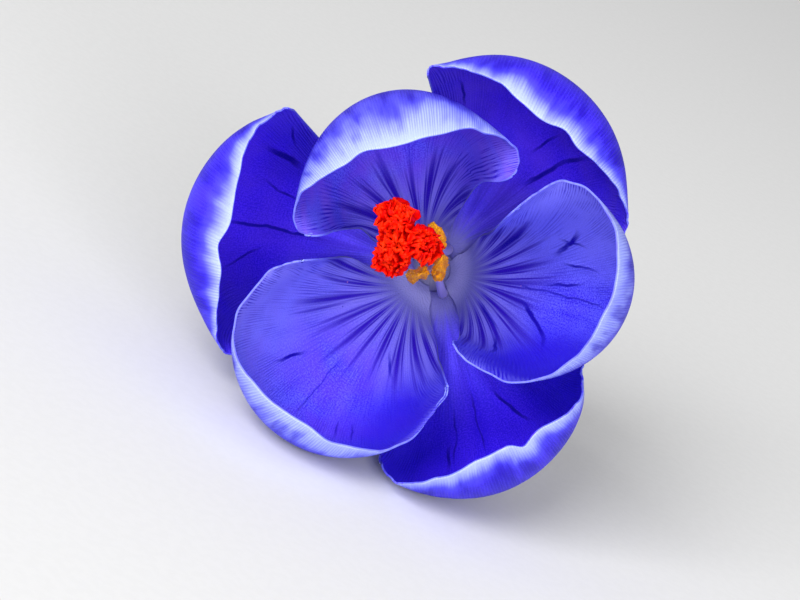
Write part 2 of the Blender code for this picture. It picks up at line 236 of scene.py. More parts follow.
class Crease(NamedTuple):
    """A fold line that follows the veins: its place in the fan, and where along the blade it runs."""

    fan: float
    start: float
    end: float
    width: float
    bend: float


class Stamen(NamedTuple):
    """One stamen: where it stands on the throat, and where its anther's tip is round the style."""

    foot_azimuth: float
    tip_azimuth: float
    splay: float


class Branch(NamedTuple):
    """One branch of the stigma: its lean, its size, its folds and the side that stays smooth."""

    azimuth: float
    spread: float
    length: float
    mouth_radius: float
    folds: int
    smooth_side: float
    flap: float  # how far its smooth side closes over the mouth


OUTER = Whorl(ring_radius=5.0, ring_height=0.2, foot_half_width=3.3, foot_arc=0.9, shoulder=1.3)
INNER = Whorl(ring_radius=4.0, ring_height=0.65, foot_half_width=2.9, foot_arc=0.7, shoulder=1.15)

TEPALS = {
    "outer_tepal_1": Tepal(
        whorl=OUTER, azimuth=54, sweep=0, twist=-4, length=40.5, half_width=17.5, widest_at=0.76,
        foot_slope=24, tip_slope=156, curl=2.3, foot_hollow=9.5, tip_hollow=16,
    ),
    "outer_tepal_2": Tepal(
        whorl=OUTER, azimuth=160, sweep=7, twist=5, length=42, half_width=16.5, widest_at=0.76,
        foot_slope=24, tip_slope=161, curl=2.5, foot_hollow=10.5, tip_hollow=16,
    ),
    "outer_tepal_3": Tepal(
        whorl=OUTER, azimuth=291, sweep=2, twist=5, length=41, half_width=15.5, widest_at=0.66,
        foot_slope=29, tip_slope=147, curl=1.9, foot_hollow=12, tip_hollow=13,
    ),
    "inner_tepal_1": Tepal(
        whorl=INNER, azimuth=110, sweep=-4, twist=2, length=41.5, half_width=19, widest_at=0.72,
        foot_slope=38, tip_slope=151, curl=2.2, foot_hollow=5, tip_hollow=13.5,
    ),
    "inner_tepal_2": Tepal(
        whorl=INNER, azimuth=222, sweep=5, twist=13, length=40.5, half_width=22.5, widest_at=0.6,
        foot_slope=40, tip_slope=137, curl=2.6, foot_hollow=7.5, tip_hollow=12,
        low_bend=1.55, high_bend=1.42,
    ),
    "inner_tepal_3": Tepal(
        whorl=INNER, azimuth=348, sweep=7, twist=-15, length=41.5, half_width=21.5, widest_at=0.6,
        foot_slope=43, tip_slope=124, curl=2.0, foot_hollow=5, tip_hollow=11.5,
        low_bend=1.6, high_bend=1.6,
    ),
}

BLUNTS = {
    "inner_tepal_1": (
        Blunt(azimuth=270, distance=-6.0, share=0.95),
        Blunt(azimuth=-45, distance=-2.9, share=0.8),
    ),
    "inner_tepal_2": (
        Blunt(azimuth=92, distance=1.9, share=0.8),
        Blunt(azimuth=25, distance=-4.0, share=0.9),
    ),
    "inner_tepal_3": (
        Blunt(azimuth=135, distance=-1.8, share=0.85),
        Blunt(azimuth=200, distance=-0.8, share=0.9),
    ),
    "outer_tepal_1": (Blunt(azimuth=180, distance=-0.3, share=0.9),),
    "outer_tepal_2": (Blunt(azimuth=76, distance=13.6, share=0.8),),
    "outer_tepal_3": (),
}

# How much of the inside is violet rather than blue, and how much lighter one side is than the other, as
# painted light and shade
TINTS_AND_PAINTED_LIGHT = {
    "outer_tepal_1": (0.4, 0.0),
    "outer_tepal_2": (0.25, 0.0),
    "outer_tepal_3": (0.05, 0.0),
    "inner_tepal_1": (1.0, 0.0),
    "inner_tepal_2": (0.5, -0.3),
    "inner_tepal_3": (0.1, 0.5),
}

# The outer whorl is deeper in colour, with faint veins, weak stripes and a narrower pale band
OUTER_LOOK = {
    "deep": (0.022, 0.004, 0.68),
    "light": (0.060, 0.018, 0.84),
    "vein_strength": 0.2,
    "stripe_strength": 0.35,
    "pale_strength": 0.2,
    # painted light: a paler foot down in the shaded throat
    "painted_lit_well": (0.15, 0.14, 0.42),
    "throat_reach": 0.0042,
    "margin_strength": 0.12,
    "edge_strength": 0.4,
    "band_width": 0.0017,
    "back_middle": (0.075, 0.07, 0.78),
    "back_light": (0.045, 0.020, 0.74),
    "back_deep": (0.012, 0.002, 0.42),
    # painted shade in the dents below the band
    "back_dent_shade_strength": 0.8,
}

NICKS = {
    "outer_tepal_1": (Nick(-0.05, 0.7, 0.05), Nick(0.25, 0.5, 0.06)),
    "outer_tepal_2": (Nick(0.03, 0.9, 0.06),),
    "outer_tepal_3": (Nick(0.1, 1.3, 0.04), Nick(-0.25, 0.4, 0.08)),
    "inner_tepal_1": (Nick(0.1, 0.7, 0.07), Nick(-0.3, 0.6, 0.08), Nick(0.5, 0.5, 0.08)),
    "inner_tepal_2": (Nick(0.1, 0.6, 0.06),),
    "inner_tepal_3": (Nick(-0.2, 0.7, 0.07),),
}

CREASES = {
    "outer_tepal_1": (
        Crease(fan=-0.25, start=10, end=19, width=0.35, bend=-0.08),
        Crease(fan=-0.06, start=14, end=18, width=0.22, bend=-0.06),
        Crease(fan=0.57, start=16, end=21, width=0.22, bend=0.02),
    ),
    "outer_tepal_2": (
        Crease(fan=-0.48, start=15, end=21, width=0.45, bend=0.05),
        Crease(fan=-0.56, start=18, end=21.5, width=0.22, bend=-0.06),
        Crease(fan=-0.23, start=13, end=18, width=0.2, bend=-0.02),
        Crease(fan=0.06, start=9, end=21, width=0.24, bend=-0.01),
        Crease(fan=0.22, start=16, end=21, width=0.2, bend=0.09),
        Crease(fan=0.6, start=18, end=22, width=0.25, bend=0.08),
    ),
    "outer_tepal_3": (
        Crease(fan=0.15, start=11, end=17.5, width=0.25, bend=0.13),
        Crease(fan=-0.1, start=10, end=19, width=0.15, bend=0.0),
        Crease(fan=-0.3, start=12, end=20, width=0.15, bend=-0.02),
        Crease(fan=-0.36, start=17, end=21, width=0.26, bend=0.01),
    ),
    "inner_tepal_1": (),
    "inner_tepal_2": (
        Crease(fan=-0.31, start=16, end=21, width=0.26, bend=-0.03),
        Crease(fan=0.0, start=13, end=24, width=0.13, bend=0.0),
        Crease(fan=0.56, start=8, end=11, width=0.26, bend=0.1),
        Crease(fan=0.27, start=21, end=25, width=0.16, bend=0.0),
        Crease(fan=0.38, start=21, end=25, width=0.16, bend=0.0),
    ),
    "inner_tepal_3": (
        Crease(fan=1.08, start=5, end=11, width=0.28, bend=-0.08),
        Crease(fan=0.52, start=14, end=20.5, width=0.42, bend=0.1),
        Crease(fan=0.64, start=16.5, end=20, width=0.26, bend=-0.14),
        Crease(fan=0.4, start=15, end=21, width=0.2, bend=-0.12),
        Crease(fan=0.18, start=12, end=18, width=0.2, bend=0.01),
        Crease(fan=0.12, start=7, end=23, width=0.15, bend=-0.1),
        Crease(fan=-0.15, start=8, end=16.5, width=0.36, bend=-0.34),
        Crease(fan=-0.79, start=3, end=8.5, width=0.2, bend=-0.11),
        Crease(fan=-0.95, start=9, end=14, width=0.28, bend=-0.08),
    ),
}

STAMENS = (
    Stamen(foot_azimuth=54, tip_azimuth=50, splay=3.6),
    Stamen(foot_azimuth=163, tip_azimuth=290, splay=2.7),
    Stamen(foot_azimuth=293, tip_azimuth=345, splay=3.2),
)

BRANCHES = (
    Branch(azimuth=97, spread=29, length=5.2, mouth_radius=2.5, folds=14, smooth_side=-20, flap=0.9),
    Branch(azimuth=256, spread=31, length=5.3, mouth_radius=2.3, folds=18, smooth_side=60, flap=0.2),
    Branch(azimuth=342, spread=34, length=4.9, mouth_radius=2.3, folds=15, smooth_side=120, flap=0.5),
    Branch(azimuth=200, spread=6, length=5.0, mouth_radius=1.9, folds=12, smooth_side=30, flap=0.3),
)


class Wire:
    """An output in a material's graph that takes part in Python expressions."""

    def __init__(self, graph, socket):
        self.graph = graph
        self.socket = socket

    def math(self, operation, *others, **settings):
        """A Math node on this value and the others."""
        return self.graph.math(operation, self, *others, **settings)

    def __add__(self, other):
        return self.math("ADD", other)

    def __radd__(self, other):
        return self.graph.math("ADD", other, self)

    def __sub__(self, other):
        return self.math("SUBTRACT", other)

    def __rsub__(self, other):
        return self.graph.math("SUBTRACT", other, self)

    def __mul__(self, other):
        return self.math("MULTIPLY", other)

    def __rmul__(self, other):
        return self.graph.math("MULTIPLY", other, self)

    def __truediv__(self, other):
        return self.math("DIVIDE", other)

    def __rtruediv__(self, other):
        return self.graph.math("DIVIDE", other, self)

    def __rpow__(self, other):
        return self.graph.math("POWER", other, self)

    def __abs__(self):
        return self.math("ABSOLUTE")

    def rise(self, low, high):
        """0 up to low and 1 from high on, with a soft step between; low may be the larger."""
        return self.graph.node(
            "ShaderNodeMapRange",
            {"interpolation_type": "SMOOTHSTEP"},
            {0: self, 1: low, 2: high, 3: 0.0, 4: 1.0},
        )


class Graph:
    """The graph of one material, with the methods that add nodes to it."""

    def __init__(self, name, roughness, specular=0.4):
        self.material = bpy.data.materials.new(name)
        self.material.use_nodes = True
        self.tree = self.material.node_tree
        self.shader = self.tree.nodes["Principled BSDF"]
        self.shader.inputs["Roughness"].default_value = roughness
        self.shader.inputs["Specular IOR Level"].default_value = specular

    def node(self, kind, settings, sockets, output=0):
        """Add a node, set it up, fill its sockets with values or wires, and give one output."""
        made = self.tree.nodes.new(kind)
        for setting, value in settings.items():
            setattr(made, setting, value)
        for place, value in sockets.items():
            if isinstance(value, Wire):
                self.tree.links.new(value.socket, made.inputs[place])
            else:
                made.inputs[place].default_value = value
        return Wire(self, made.outputs[output])

    def math(self, operation, *values, **settings):
        """A Math node on the values."""
        return self.node("ShaderNodeMath", {"operation": operation, **settings}, dict(enumerate(values)))

    def mix(self, first, second, share):
        """The colour that goes from the first to the second as share goes from 0 to 1."""
        low, high = (color if isinstance(color, Wire) else shade(color) for color in (first, second))
        return self.node("ShaderNodeMix", {"data_type": "RGBA"}, {0: share, 6: low, 7: high}, output=2)

    def uv(self, name):
        """The two values of one of the piece's own maps."""
        place = self.node("ShaderNodeUVMap", {"uv_map": name}, {})
        split = self.tree.nodes.new("ShaderNodeSeparateXYZ")
        self.tree.links.new(place.socket, split.inputs[0])
        return Wire(self, split.outputs[0]), Wire(self, split.outputs[1])

    def spot(self, x, y, z):
        """A place made of three values."""
        return self.node("ShaderNodeCombineXYZ", {}, {0: x, 1: y, 2: z})

    def object_place(self):
        """The place on the piece, in metres."""
        return self.node("ShaderNodeTexCoord", {}, {}, output="Object")

    def noise(self, place, scale, detail=2.0):
        """Soft noise about 0.5."""
        return self.node("ShaderNodeTexNoise", {}, {"Vector": place, "Scale": scale, "Detail": detail})

    def cloud(self, x, y, z, detail=2.0):
        """Soft noise about 0.5, at a place made of three values."""
        return self.noise(self.spot(x, y, z), 1.0, detail)

    def color(self, wire):
        """Send the wire to the surface's colour."""
        self.tree.links.new(wire.socket, self.shader.inputs["Base Color"])

    def bump(self, height, depth):
        """Raise the surface by the height, 0 to 1, times the depth in metres."""
        normal = self.node("ShaderNodeBump", {}, {"Height": height, "Distance": depth})
        self.tree.links.new(normal.socket, self.shader.inputs["Normal"])


def shade(color):
    """A colour setting as a node's colour value."""
    return (*color, 1.0)


def flower_matrix():
    """From the flower's own place, in millimetres, to where it lies in the world, in metres."""
    roll = Matrix.Rotation(-math.radians(DOWN_AZIMUTH + 90.0), 4, "Z")
    fall = Matrix.Rotation(math.radians(90.0 - AXIS_RISE), 4, "X")
    return Matrix.Translation(THROAT * MM) @ fall @ roll @ Matrix.Scale(MM, 4)


def add_sheet(name, columns, rows):
    """A flat grid, with the place of each vertex across it and along it, from 0 to 1."""
    bpy.ops.object.select_all(action="DESELECT")
    bpy.ops.mesh.primitive_grid_add(
        x_subdivisions=columns, y_subdivisions=rows, size=1.0, calc_uvs=False, location=(0.0, 0.0, 0.0)
    )
    piece = bpy.context.object
    piece.name = name
    flat = vertex_places(piece)
    return piece, (flat[:, 0] + 0.5).clip(0.0, 1.0), (flat[:, 1] + 0.5).clip(0.0, 1.0)


def add_ball(name, segments, rings, radius):
    """A round ball at the origin."""
    bpy.ops.object.select_all(action="DESELECT")
    bpy.ops.mesh.primitive_uv_sphere_add(
        segments=segments, ring_count=rings, radius=radius, location=(0.0, 0.0, 0.0)
    )
    piece = bpy.context.object
    piece.name = name
    return piece


def give_materials(piece, *materials):
    """Put the materials in the piece's slots, in order."""
    for material in materials:
        piece.data.materials.append(material)


def vertex_places(piece):
    """Every vertex of the piece, as rows of x, y, z."""
    points = np.empty(len(piece.data.vertices) * 3)
    piece.data.vertices.foreach_get("co", points)
    return points.reshape(-1, 3)


def move_vertices(piece, points):
    """Move every vertex of the piece to its row of points."""
    piece.data.vertices.foreach_set("co", points.ravel())
    piece.data.update()


def write_map(piece, name, first, second):
    """Keep two values of every vertex on the piece as a UV map."""
    mesh = piece.data
    corners = np.empty(len(mesh.loops), dtype=np.int32)
    mesh.loops.foreach_get("vertex_index", corners)
    layer = mesh.uv_layers.new(name=name)
    layer.data.foreach_set("uv", np.stack([first[corners], second[corners]], axis=-1).ravel())


def merge_seams():
    """Merge the active piece's vertices where it closes on itself, and turn its faces outwards."""
    bpy.ops.object.mode_set(mode="EDIT")
    bpy.ops.mesh.select_all(action="SELECT")
    bpy.ops.mesh.remove_doubles(threshold=MERGE_DISTANCE)
    bpy.ops.mesh.normals_make_consistent(inside=False)
    bpy.ops.object.mode_set(mode="OBJECT")


def give_wall(piece, thickness, offset):
    """Turn a sheet into a thin wall whose far face and edge take the next two materials."""
    wall = piece.modifiers.new("wall", "SOLIDIFY")
    wall.thickness = thickness
    wall.offset = offset
    wall.material_offset = 1
    wall.material_offset_rim = 2
    bpy.ops.object.modifier_apply(modifier=wall.name)


def finish_piece(piece, node):
    """Lay a piece down into the world, and let it stand for its node of the part."""
    piece.data.transform(flower_matrix())
    piece.data.shade_smooth()
    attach(piece, "root")
    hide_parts(node)


def outward(azimuth):
    """The horizontal direction at that azimuth, in degrees from +X towards +Y."""
    angle = math.radians(azimuth)
    return Vector((math.cos(angle), math.sin(angle), 0.0))


def bezier(start, start_handle, end_handle, end, share):
    """The point at that share of the way along a curve between two ends with their handles."""
    rest = 1 - share
    return (
        start * rest**3
        + start_handle * 3 * rest**2 * share
        + end_handle * 3 * rest * share**2
        + end * share**3
    )


def unit(vectors):
    """The vectors, each made 1 long."""
    return vectors / np.linalg.norm(vectors, axis=-1, keepdims=True)


def running_sum(steps):
    """0, and then the sum of the steps up to each of them."""
    return np.concatenate([[0.0], np.cumsum(steps)])


def round_points(radius, angle, height):
    """Points round the upright axis, as rows of x, y, z."""
    return np.stack([radius * np.cos(angle), radius * np.sin(angle), height], axis=-1)


def soft_step(values, low, high):
    """0 up to low and 1 from high on, with a soft step between."""
    share = ((values - low) / (high - low)).clip(0.0, 1.0)
    return share * share * (3 - 2 * share)


def midrib(tepal):
    """Radius, height and slope along a tepal's midrib, from the throat to the tip."""
    share = np.linspace(0.0, 1.0, MIDRIB_STEPS + 1)
    rise = tepal.tip_slope - tepal.foot_slope
    slope = np.radians(tepal.foot_slope + rise * share**tepal.curl)
    middle = (slope[1:] + slope[:-1]) / 2
    step = tepal.length / MIDRIB_STEPS
    radius = tepal.whorl.ring_radius + running_sum(np.cos(middle)) * step
    height = tepal.whorl.ring_height + running_sum(np.sin(middle)) * step
    return share, radius, height, slope


def blade_outline(tepal, nicks, u, v):
    """Flat width and length of the blade at u, -1 to 1 across, and v, 0 to 1 from foot to rim."""
    whorl = tepal.whorl
    widest = tepal.widest_at * tepal.length
    turn = u * math.pi / 2
    rim_width = tepal.half_width * np.sin(turn)
    rim_length = widest + (tepal.length - widest) * np.cos(turn).clip(0.0, 1.0) ** TIP_ROUNDNESS
    fullness = np.sin(v * math.pi / 2) ** whorl.shoulder
    across = rim_width * fullness + u * whorl.foot_half_width * (1 - fullness)
    along = rim_length * v - whorl.foot_arc * u**2 * (1 - v) ** 2
    for nick in nicks:
        along = along - nick.depth * np.exp(-(((u - nick.across) / nick.width) ** 2)) * v**NICK_NARROWNESS
    return across, along


def throat_wall():
    """How far each place on the throat's wall is from its rim, and its radius and height."""
    share = np.linspace(1.0, 0.0, THROAT_STEPS)
    wall = flare_point(share, lip_offset(share))
    depth = running_sum(np.linalg.norm(np.diff(wall, axis=0), axis=-1))
    return depth, wall[:, 0], wall[:, 1]


def claw_point(tepal, across, tail, settled):
    """Points on the throat's wall where a tepal's claw runs down it, at first just above it."""
    whorl = tepal.whorl
    depth, radius, height = throat_wall()
    run = np.interp(-whorl.ring_radius, -radius, depth) - tail
    azimuth = math.radians(tepal.azimuth) + across / whorl.ring_radius * (1 - CLAW_NARROWING * settled)
    r = np.interp(run, depth, radius)
    z = np.interp(run, depth, height) + CLAW_LIFT - CLAW_SINK * settled
    return round_points(r, azimuth, z)


def blade_point(tepal, across, along):
    """Points on a tepal's middle surface: hollowed across, rolled along, and led down into the throat."""
    share, radius, height, slope = midrib(tepal)
    part = (along / tepal.length).clip(0.0, 1.0)
    tail = np.minimum(along, 0.0)
    lean = np.interp(part, share, slope)
    r = np.interp(part, share, radius) + tail * math.cos(slope[0])
    z = np.interp(part, share, height) + tail * math.sin(slope[0])
    hollow = tepal.foot_hollow + (tepal.tip_hollow - tepal.foot_hollow) * part
    bent = (across / hollow).clip(-tepal.low_bend, tepal.high_bend)
    straight = across - bent * hollow
    side = np.sin(bent) * hollow + straight * np.cos(bent)
    depth = (1 - np.cos(bent)) * hollow + straight * np.sin(bent)
    twist = np.radians(tepal.twist) * part
    side, depth = (
        np.cos(twist) * side - np.sin(twist) * depth,
        np.sin(twist) * side + np.cos(twist) * depth,
    )
    azimuth = np.radians(tepal.azimuth + tepal.sweep * part**SWEEP_ONSET)
    reach = r - depth * np.sin(lean)
    blade = np.stack(
        [
            reach * np.cos(azimuth) - side * np.sin(azimuth),
            reach * np.sin(azimuth) + side * np.cos(azimuth),
            z + depth * np.cos(lean),
        ],
        axis=-1,
    )
    settled = (-tail / CLAW_TAIL).clip(0.0, 1.0)
    claw = claw_point(tepal, across, tail, settled)
    return blade + (claw - blade) * soft_step(settled, 0.0, CLAW_BLEND)[:, None]


def push_back(points, blunt):
    """The points, with those that stand out past the blunt's distance moved softly back towards it."""
    way = np.array(outward(blunt.azimuth))
    over = (points @ way - blunt.distance).clip(0.0)
    back = over**2 / (over + BLUNT_SOFTNESS) * blunt.share * soft_step(points[:, 2], *BLUNT_HEIGHTS)
    return points - back[:, None] * way


def rim_wave(tepal, ripple, u, v):
    """How far the blade waves off its middle surface: most at its sides and rim, not at all inside."""
    side = abs(u) ** RIM_WAVE_NARROWNESS
    rim = v**RIM_WAVE_NARROWNESS
    nearness = side * v * (1 - rim) + rim * (1 - side)
    phase = np.radians(tepal.azimuth)
    wave = np.sin(LONG_WAVES * u + phase) + np.sin(SHORT_WAVES * u - 2 * phase) / 2
    around = np.where(abs(u) > v, np.sign(u) * (3 - v), u * 2)
    fine = np.sin(LONG_RIPPLES * around + 3 * phase) + np.sin(SHORT_RIPPLES * around + phase) / 2
    edge = np.maximum(abs(u) ** RIPPLE_NARROWNESS * v, v**RIPPLE_NARROWNESS)
    return RIM_WAVE * nearness * wave + ripple * edge * fine


def vein_fan(tepal, along, points):
    """Place of each point in the fan of veins, in radians, and how many millimetres a radian is there."""
    part = (along / tepal.length).clip(0.0, 1.0)
    foot = math.radians(tepal.azimuth)
    away = points[:, :2] - np.array([math.cos(foot), math.sin(foot)]) * FAN_CENTER
    middle = np.radians(tepal.azimuth + tepal.sweep * part**SWEEP_ONSET)
    azimuth = (np.arctan2(away[:, 1], away[:, 0]) - middle + math.pi) % math.tau - math.pi
    opening = ((along.clip(0.0) + FAN_START) / FAN_REACH) ** FAN_OPENING
    return azimuth / opening, np.hypot(away[:, 0], away[:, 1]) * opening


def crease_groove(creases, fan, width, along):
    """How deep the blade's fold lines are, from 0 to 1."""
    groove = 0 * fan
    for crease in creases:
        middle = crease.fan + crease.bend * (along - crease.start) / (crease.end - crease.start)
        away = (fan - middle) * width / (crease.width * 2)
        run = soft_step(along, crease.start - 2, crease.start + 3)
        run = run * (1 - soft_step(along, crease.end - 3, crease.end + 1))
        groove = np.maximum(groove, np.exp(-(away**2)) * run)
    return groove


def rim_distance(tepal, nicks, across, along):
    """How far each place on the flat blade is from its edge."""
    one = np.ones(OUTLINE_STEPS + 1)
    turn = np.linspace(-1.0, 1.0, OUTLINE_STEPS + 1)
    climb = np.linspace(0.0, 1.0, OUTLINE_STEPS + 1)
    edges = [
        blade_outline(tepal, nicks, turn, one),
        blade_outline(tepal, nicks, -one, climb),
        blade_outline(tepal, nicks, one, climb),
    ]
    edge_across = np.concatenate([edge[0] for edge in edges])
    edge_along = np.concatenate([edge[1] for edge in edges])
    square = (across[:, None] - edge_across) ** 2 + (along[:, None] - edge_along) ** 2
    return np.sqrt(square.min(axis=1))


def build_tepal(node, settings, materials):
    """A tepal: a sheet bent to the blade's form, creased and waved at its rim, with its thickness."""
    tepal = TEPALS[node]
    nicks = NICKS[node]
    piece, u, v = add_sheet(f"{node}_blade", TEPAL_COLUMNS, TEPAL_ROWS)
    u = 1 - u * 2
    run = v * (tepal.length + CLAW_TAIL) - CLAW_TAIL
    v = (run / tepal.length).clip(0.0, 1.0)
    across, along = blade_outline(tepal, nicks, u, v)
    tail = np.minimum(run, 0.0)
    along = along + tail - tepal.whorl.foot_arc * u**2 * tail / CLAW_TAIL
    step = NORMAL_STEP
    run_across = blade_point(tepal, across + step, along) - blade_point(tepal, across - step, along)
    run_along = blade_point(tepal, across, along + step) - blade_point(tepal, across, along - step)
    normal = unit(np.cross(run_across, run_along))
    points = blade_point(tepal, across, along)
    fan, width = vein_fan(tepal, along, points)
    groove = crease_groove(CREASES[node], fan, width, along)
    lift = rim_wave(tepal, settings.ripple / MM, u, v) - settings.crease_depth / MM * groove
    lift = lift - OUTER_FACE + settings.thickness / MM
    write_map(piece, "flat", across, along)
    write_map(piece, "fan", fan, width)
    write_map(piece, "margin", rim_distance(tepal, nicks, across, along), v)
    points = points + lift[:, None] * normal
    for blunt in BLUNTS[node]:
        points = push_back(points, blunt)
    move_vertices(piece, points)
    give_materials(piece, *materials)
    give_wall(piece, settings.thickness / MM, -1.0)
    finish_piece(piece, node)


def vein_lines(graph, fan, width, along, spacing, seed):
    """Fine lines along the veins, 0 to 1, which fork as the blade widens so that their spacing stays."""
    octave = (width / spacing).math("LOGARITHM", 2.0)
    whole = octave.math("FLOOR")
    part = octave - whole
    layers = []
    for step in (0.0, 1.0):
        place = fan * 2.0 ** (whole + step)
        wander = graph.cloud(place * 0.5, along * 0.1, seed + step, detail=1.0)
        layers.append(((place + wander * 1.3) * math.tau).math("COSINE") * 0.5 + 0.5)
    blend = part.rise(0.1, 0.9)
    return layers[0] * (1 - blend) + layers[1] * blend


def bold_stripes(graph, look, fan, along, seed):
    """The dark feathered stripes that spread from the throat, and the pale ground around them, 0 to 1."""
    jitter = graph.cloud(fan * 1.6, along * 0.03, seed + 11, detail=1.0)
    length = graph.cloud(fan * 2.4, seed, 2.0, detail=1.0)
    feather = graph.cloud(fan * 13, along * 0.09, seed + 13)
    phase = (fan * look.stripes + jitter * 1.2) * math.tau
    reach = along + (length - 0.5) * look.stripe_spread / MM
    end = look.stripe_end / MM
    taper = reach.rise(end, end - 15)
    bold = phase.math("COSINE") * 0.5 + (feather - 0.5) * 0.5
    slender = (phase * 2).math("COSINE") * -0.5 + (feather - 0.5) * 0.7 - 0.12
    dark = bold.math("MAXIMUM", slender) - 0.72 + taper * 0.55
    dark = dark.rise(-0.1, 0.32) * along.rise(0.0, 4.5) * (taper * 0.55 + 0.45)
    ground = reach.rise(end * 0.75, 3.0) * (1.3 - feather * 0.8)
    return dark, ground


def specks(graph, across, along, cell, radius, share, seed):
    """Small round specks, 0 to 1, in a share of the cells of that size."""
    place = graph.spot(across / cell + seed, along / cell, seed)
    cells = {"Vector": place, "Scale": 1.0}
    distance = graph.node("ShaderNodeTexVoronoi", {}, cells)
    chance = graph.node("ShaderNodeTexVoronoi", {}, cells, output="Position").math("FRACT")
    kept = (chance * 7.3).math("FRACT").math("LESS_THAN", share)
    return distance.rise(radius / cell, radius / cell * 0.5) * kept


def paint_inside(name, look, creases, tint_and_painted_light, seed):
    """The face of a tepal that lines the cup: pale throat, bold stripes, fine veins, fold lines as painted
    shade, one side painted lighter and the other darker, and a foot painted paler down in the shaded
    throat.
    """
    graph = Graph(name, look.roughness, specular=PETAL_GLOSS)
    across, along = graph.uv("flat")
    fan, width = graph.uv("fan")
    margin = graph.uv("margin")[0]
    grain = graph.cloud(across * INSIDE_GRAIN, along * INSIDE_GRAIN, seed, detail=1.0)
    patch = graph.cloud(across * INSIDE_PATCH, along * INSIDE_PATCH, seed + 7)
    ray = graph.cloud(fan * INSIDE_RAY, along * 0.05, seed + 3)
    tone = (ray * 0.8 + patch * 0.8 + grain * 2.6 - 1.6).rise(0.1, 0.95)
    color = graph.mix(look.deep, look.light, tone)
    violet, painted_light_side = tint_and_painted_light
    color = graph.mix(color, look.violet, patch.rise(0.75, 0.3) * violet)
    # Painted light and shade: one side of the blade is lighter, in the margin's colour, and the other
    # darker, in the veins' colour.
    if painted_light_side:
        side = across * painted_light_side
        color = graph.mix(color, look.margin, side.rise(0.0, 4.0) * 0.62)
        color = graph.mix(color, look.vein, side.rise(0.0, -3.0) * 0.85)

    veins = vein_lines(graph, fan, width, along, look.vein_spacing / MM, seed)
    uneven = graph.cloud(fan * 8, along * 0.2, seed + 17)
    veins = 0.5 + (veins - 0.5) * uneven.rise(0.25, 0.75)
    near_rim = (margin + (patch - 0.5) * 6 + (ray - 0.5) * 5).rise(look.margin_width / MM, 0.5)
    streaks = near_rim * (1 - veins) * (ray.rise(0.3, 0.7) * 0.8 + 0.5) * look.margin_strength
    color = graph.mix(color, look.margin, streaks)
    dark_veins = veins.rise(0.45, 0.95) * (near_rim * 0.7 + look.vein_strength) * margin.rise(0.0, 0.6)
    color = graph.mix(color, look.vein, dark_veins * (grain * 0.8 + 0.6))

    dark, ground = bold_stripes(graph, look, fan, along, seed)
    color = graph.mix(color, look.pale, ground * (grain * 0.5 + 0.75) * look.pale_strength)
    reach = look.throat_reach / MM
    color = graph.mix(color, look.throat, (along + (ray - 0.5) * 5).rise(reach, reach - 6.5))
    color = graph.mix(color, look.stripe, dark * look.stripe_strength)
    # Painted light: the foot of the tepal, down in the shaded throat, is made paler than the throat.
    color = graph.mix(color, look.painted_lit_well, along.rise(1.0, -2.0))

    # Painted shade: dark lines along the creases.
    if creases:
        color = graph.mix(color, look.fold, painted_crease_shade(graph, fan, width, along, creases))
    soil = specks(graph, across, along, 3.5, 0.13, 0.25, seed)
    color = graph.mix(color, look.fold, soil * along.rise(6.0, 9.0) * 0.8)
    dust = specks(graph, across, along, 1.6, 0.14, 0.16, seed + 5)
    color = graph.mix(color, look.pollen, dust * along.rise(12.0, 3.0) * 0.5)
    edge = margin.rise(0.28, 0.08) * along.rise(7.0, 16.0) * look.edge_strength
    graph.color(graph.mix(color, look.edge, edge))
    graph.bump(veins * 0.5 + grain, PETAL_RELIEF * MM)
    return graph.material


def painted_crease_shade(graph, fan, width, along, creases):
    """Painted shade: dark lines where the blade is creased, 0 to 1."""
    lines = None
    ragged = graph.cloud(fan * 2.6, along * 0.3, 5.0)
    for crease in creases:
        slant = crease.bend / (crease.end - crease.start)
        middle = crease.fan - crease.start * slant
        away = abs((fan - along * slant - middle) * width + (ragged - 0.5) * 0.9)
        onset = along.rise(crease.start - 1.0, crease.start + 2.0)
        run = onset * along.rise(crease.end + 1.0, crease.end - 2.0)
        depth = min(1.0, crease.width * 4.5)
        strength = run * (ragged.rise(0.25, 0.5) * 0.3 + 0.7) * depth
        line = away.rise(crease.width, crease.width * 0.4) * strength
        lines = line if lines is None else lines.math("MAXIMUM", line)
    return lines


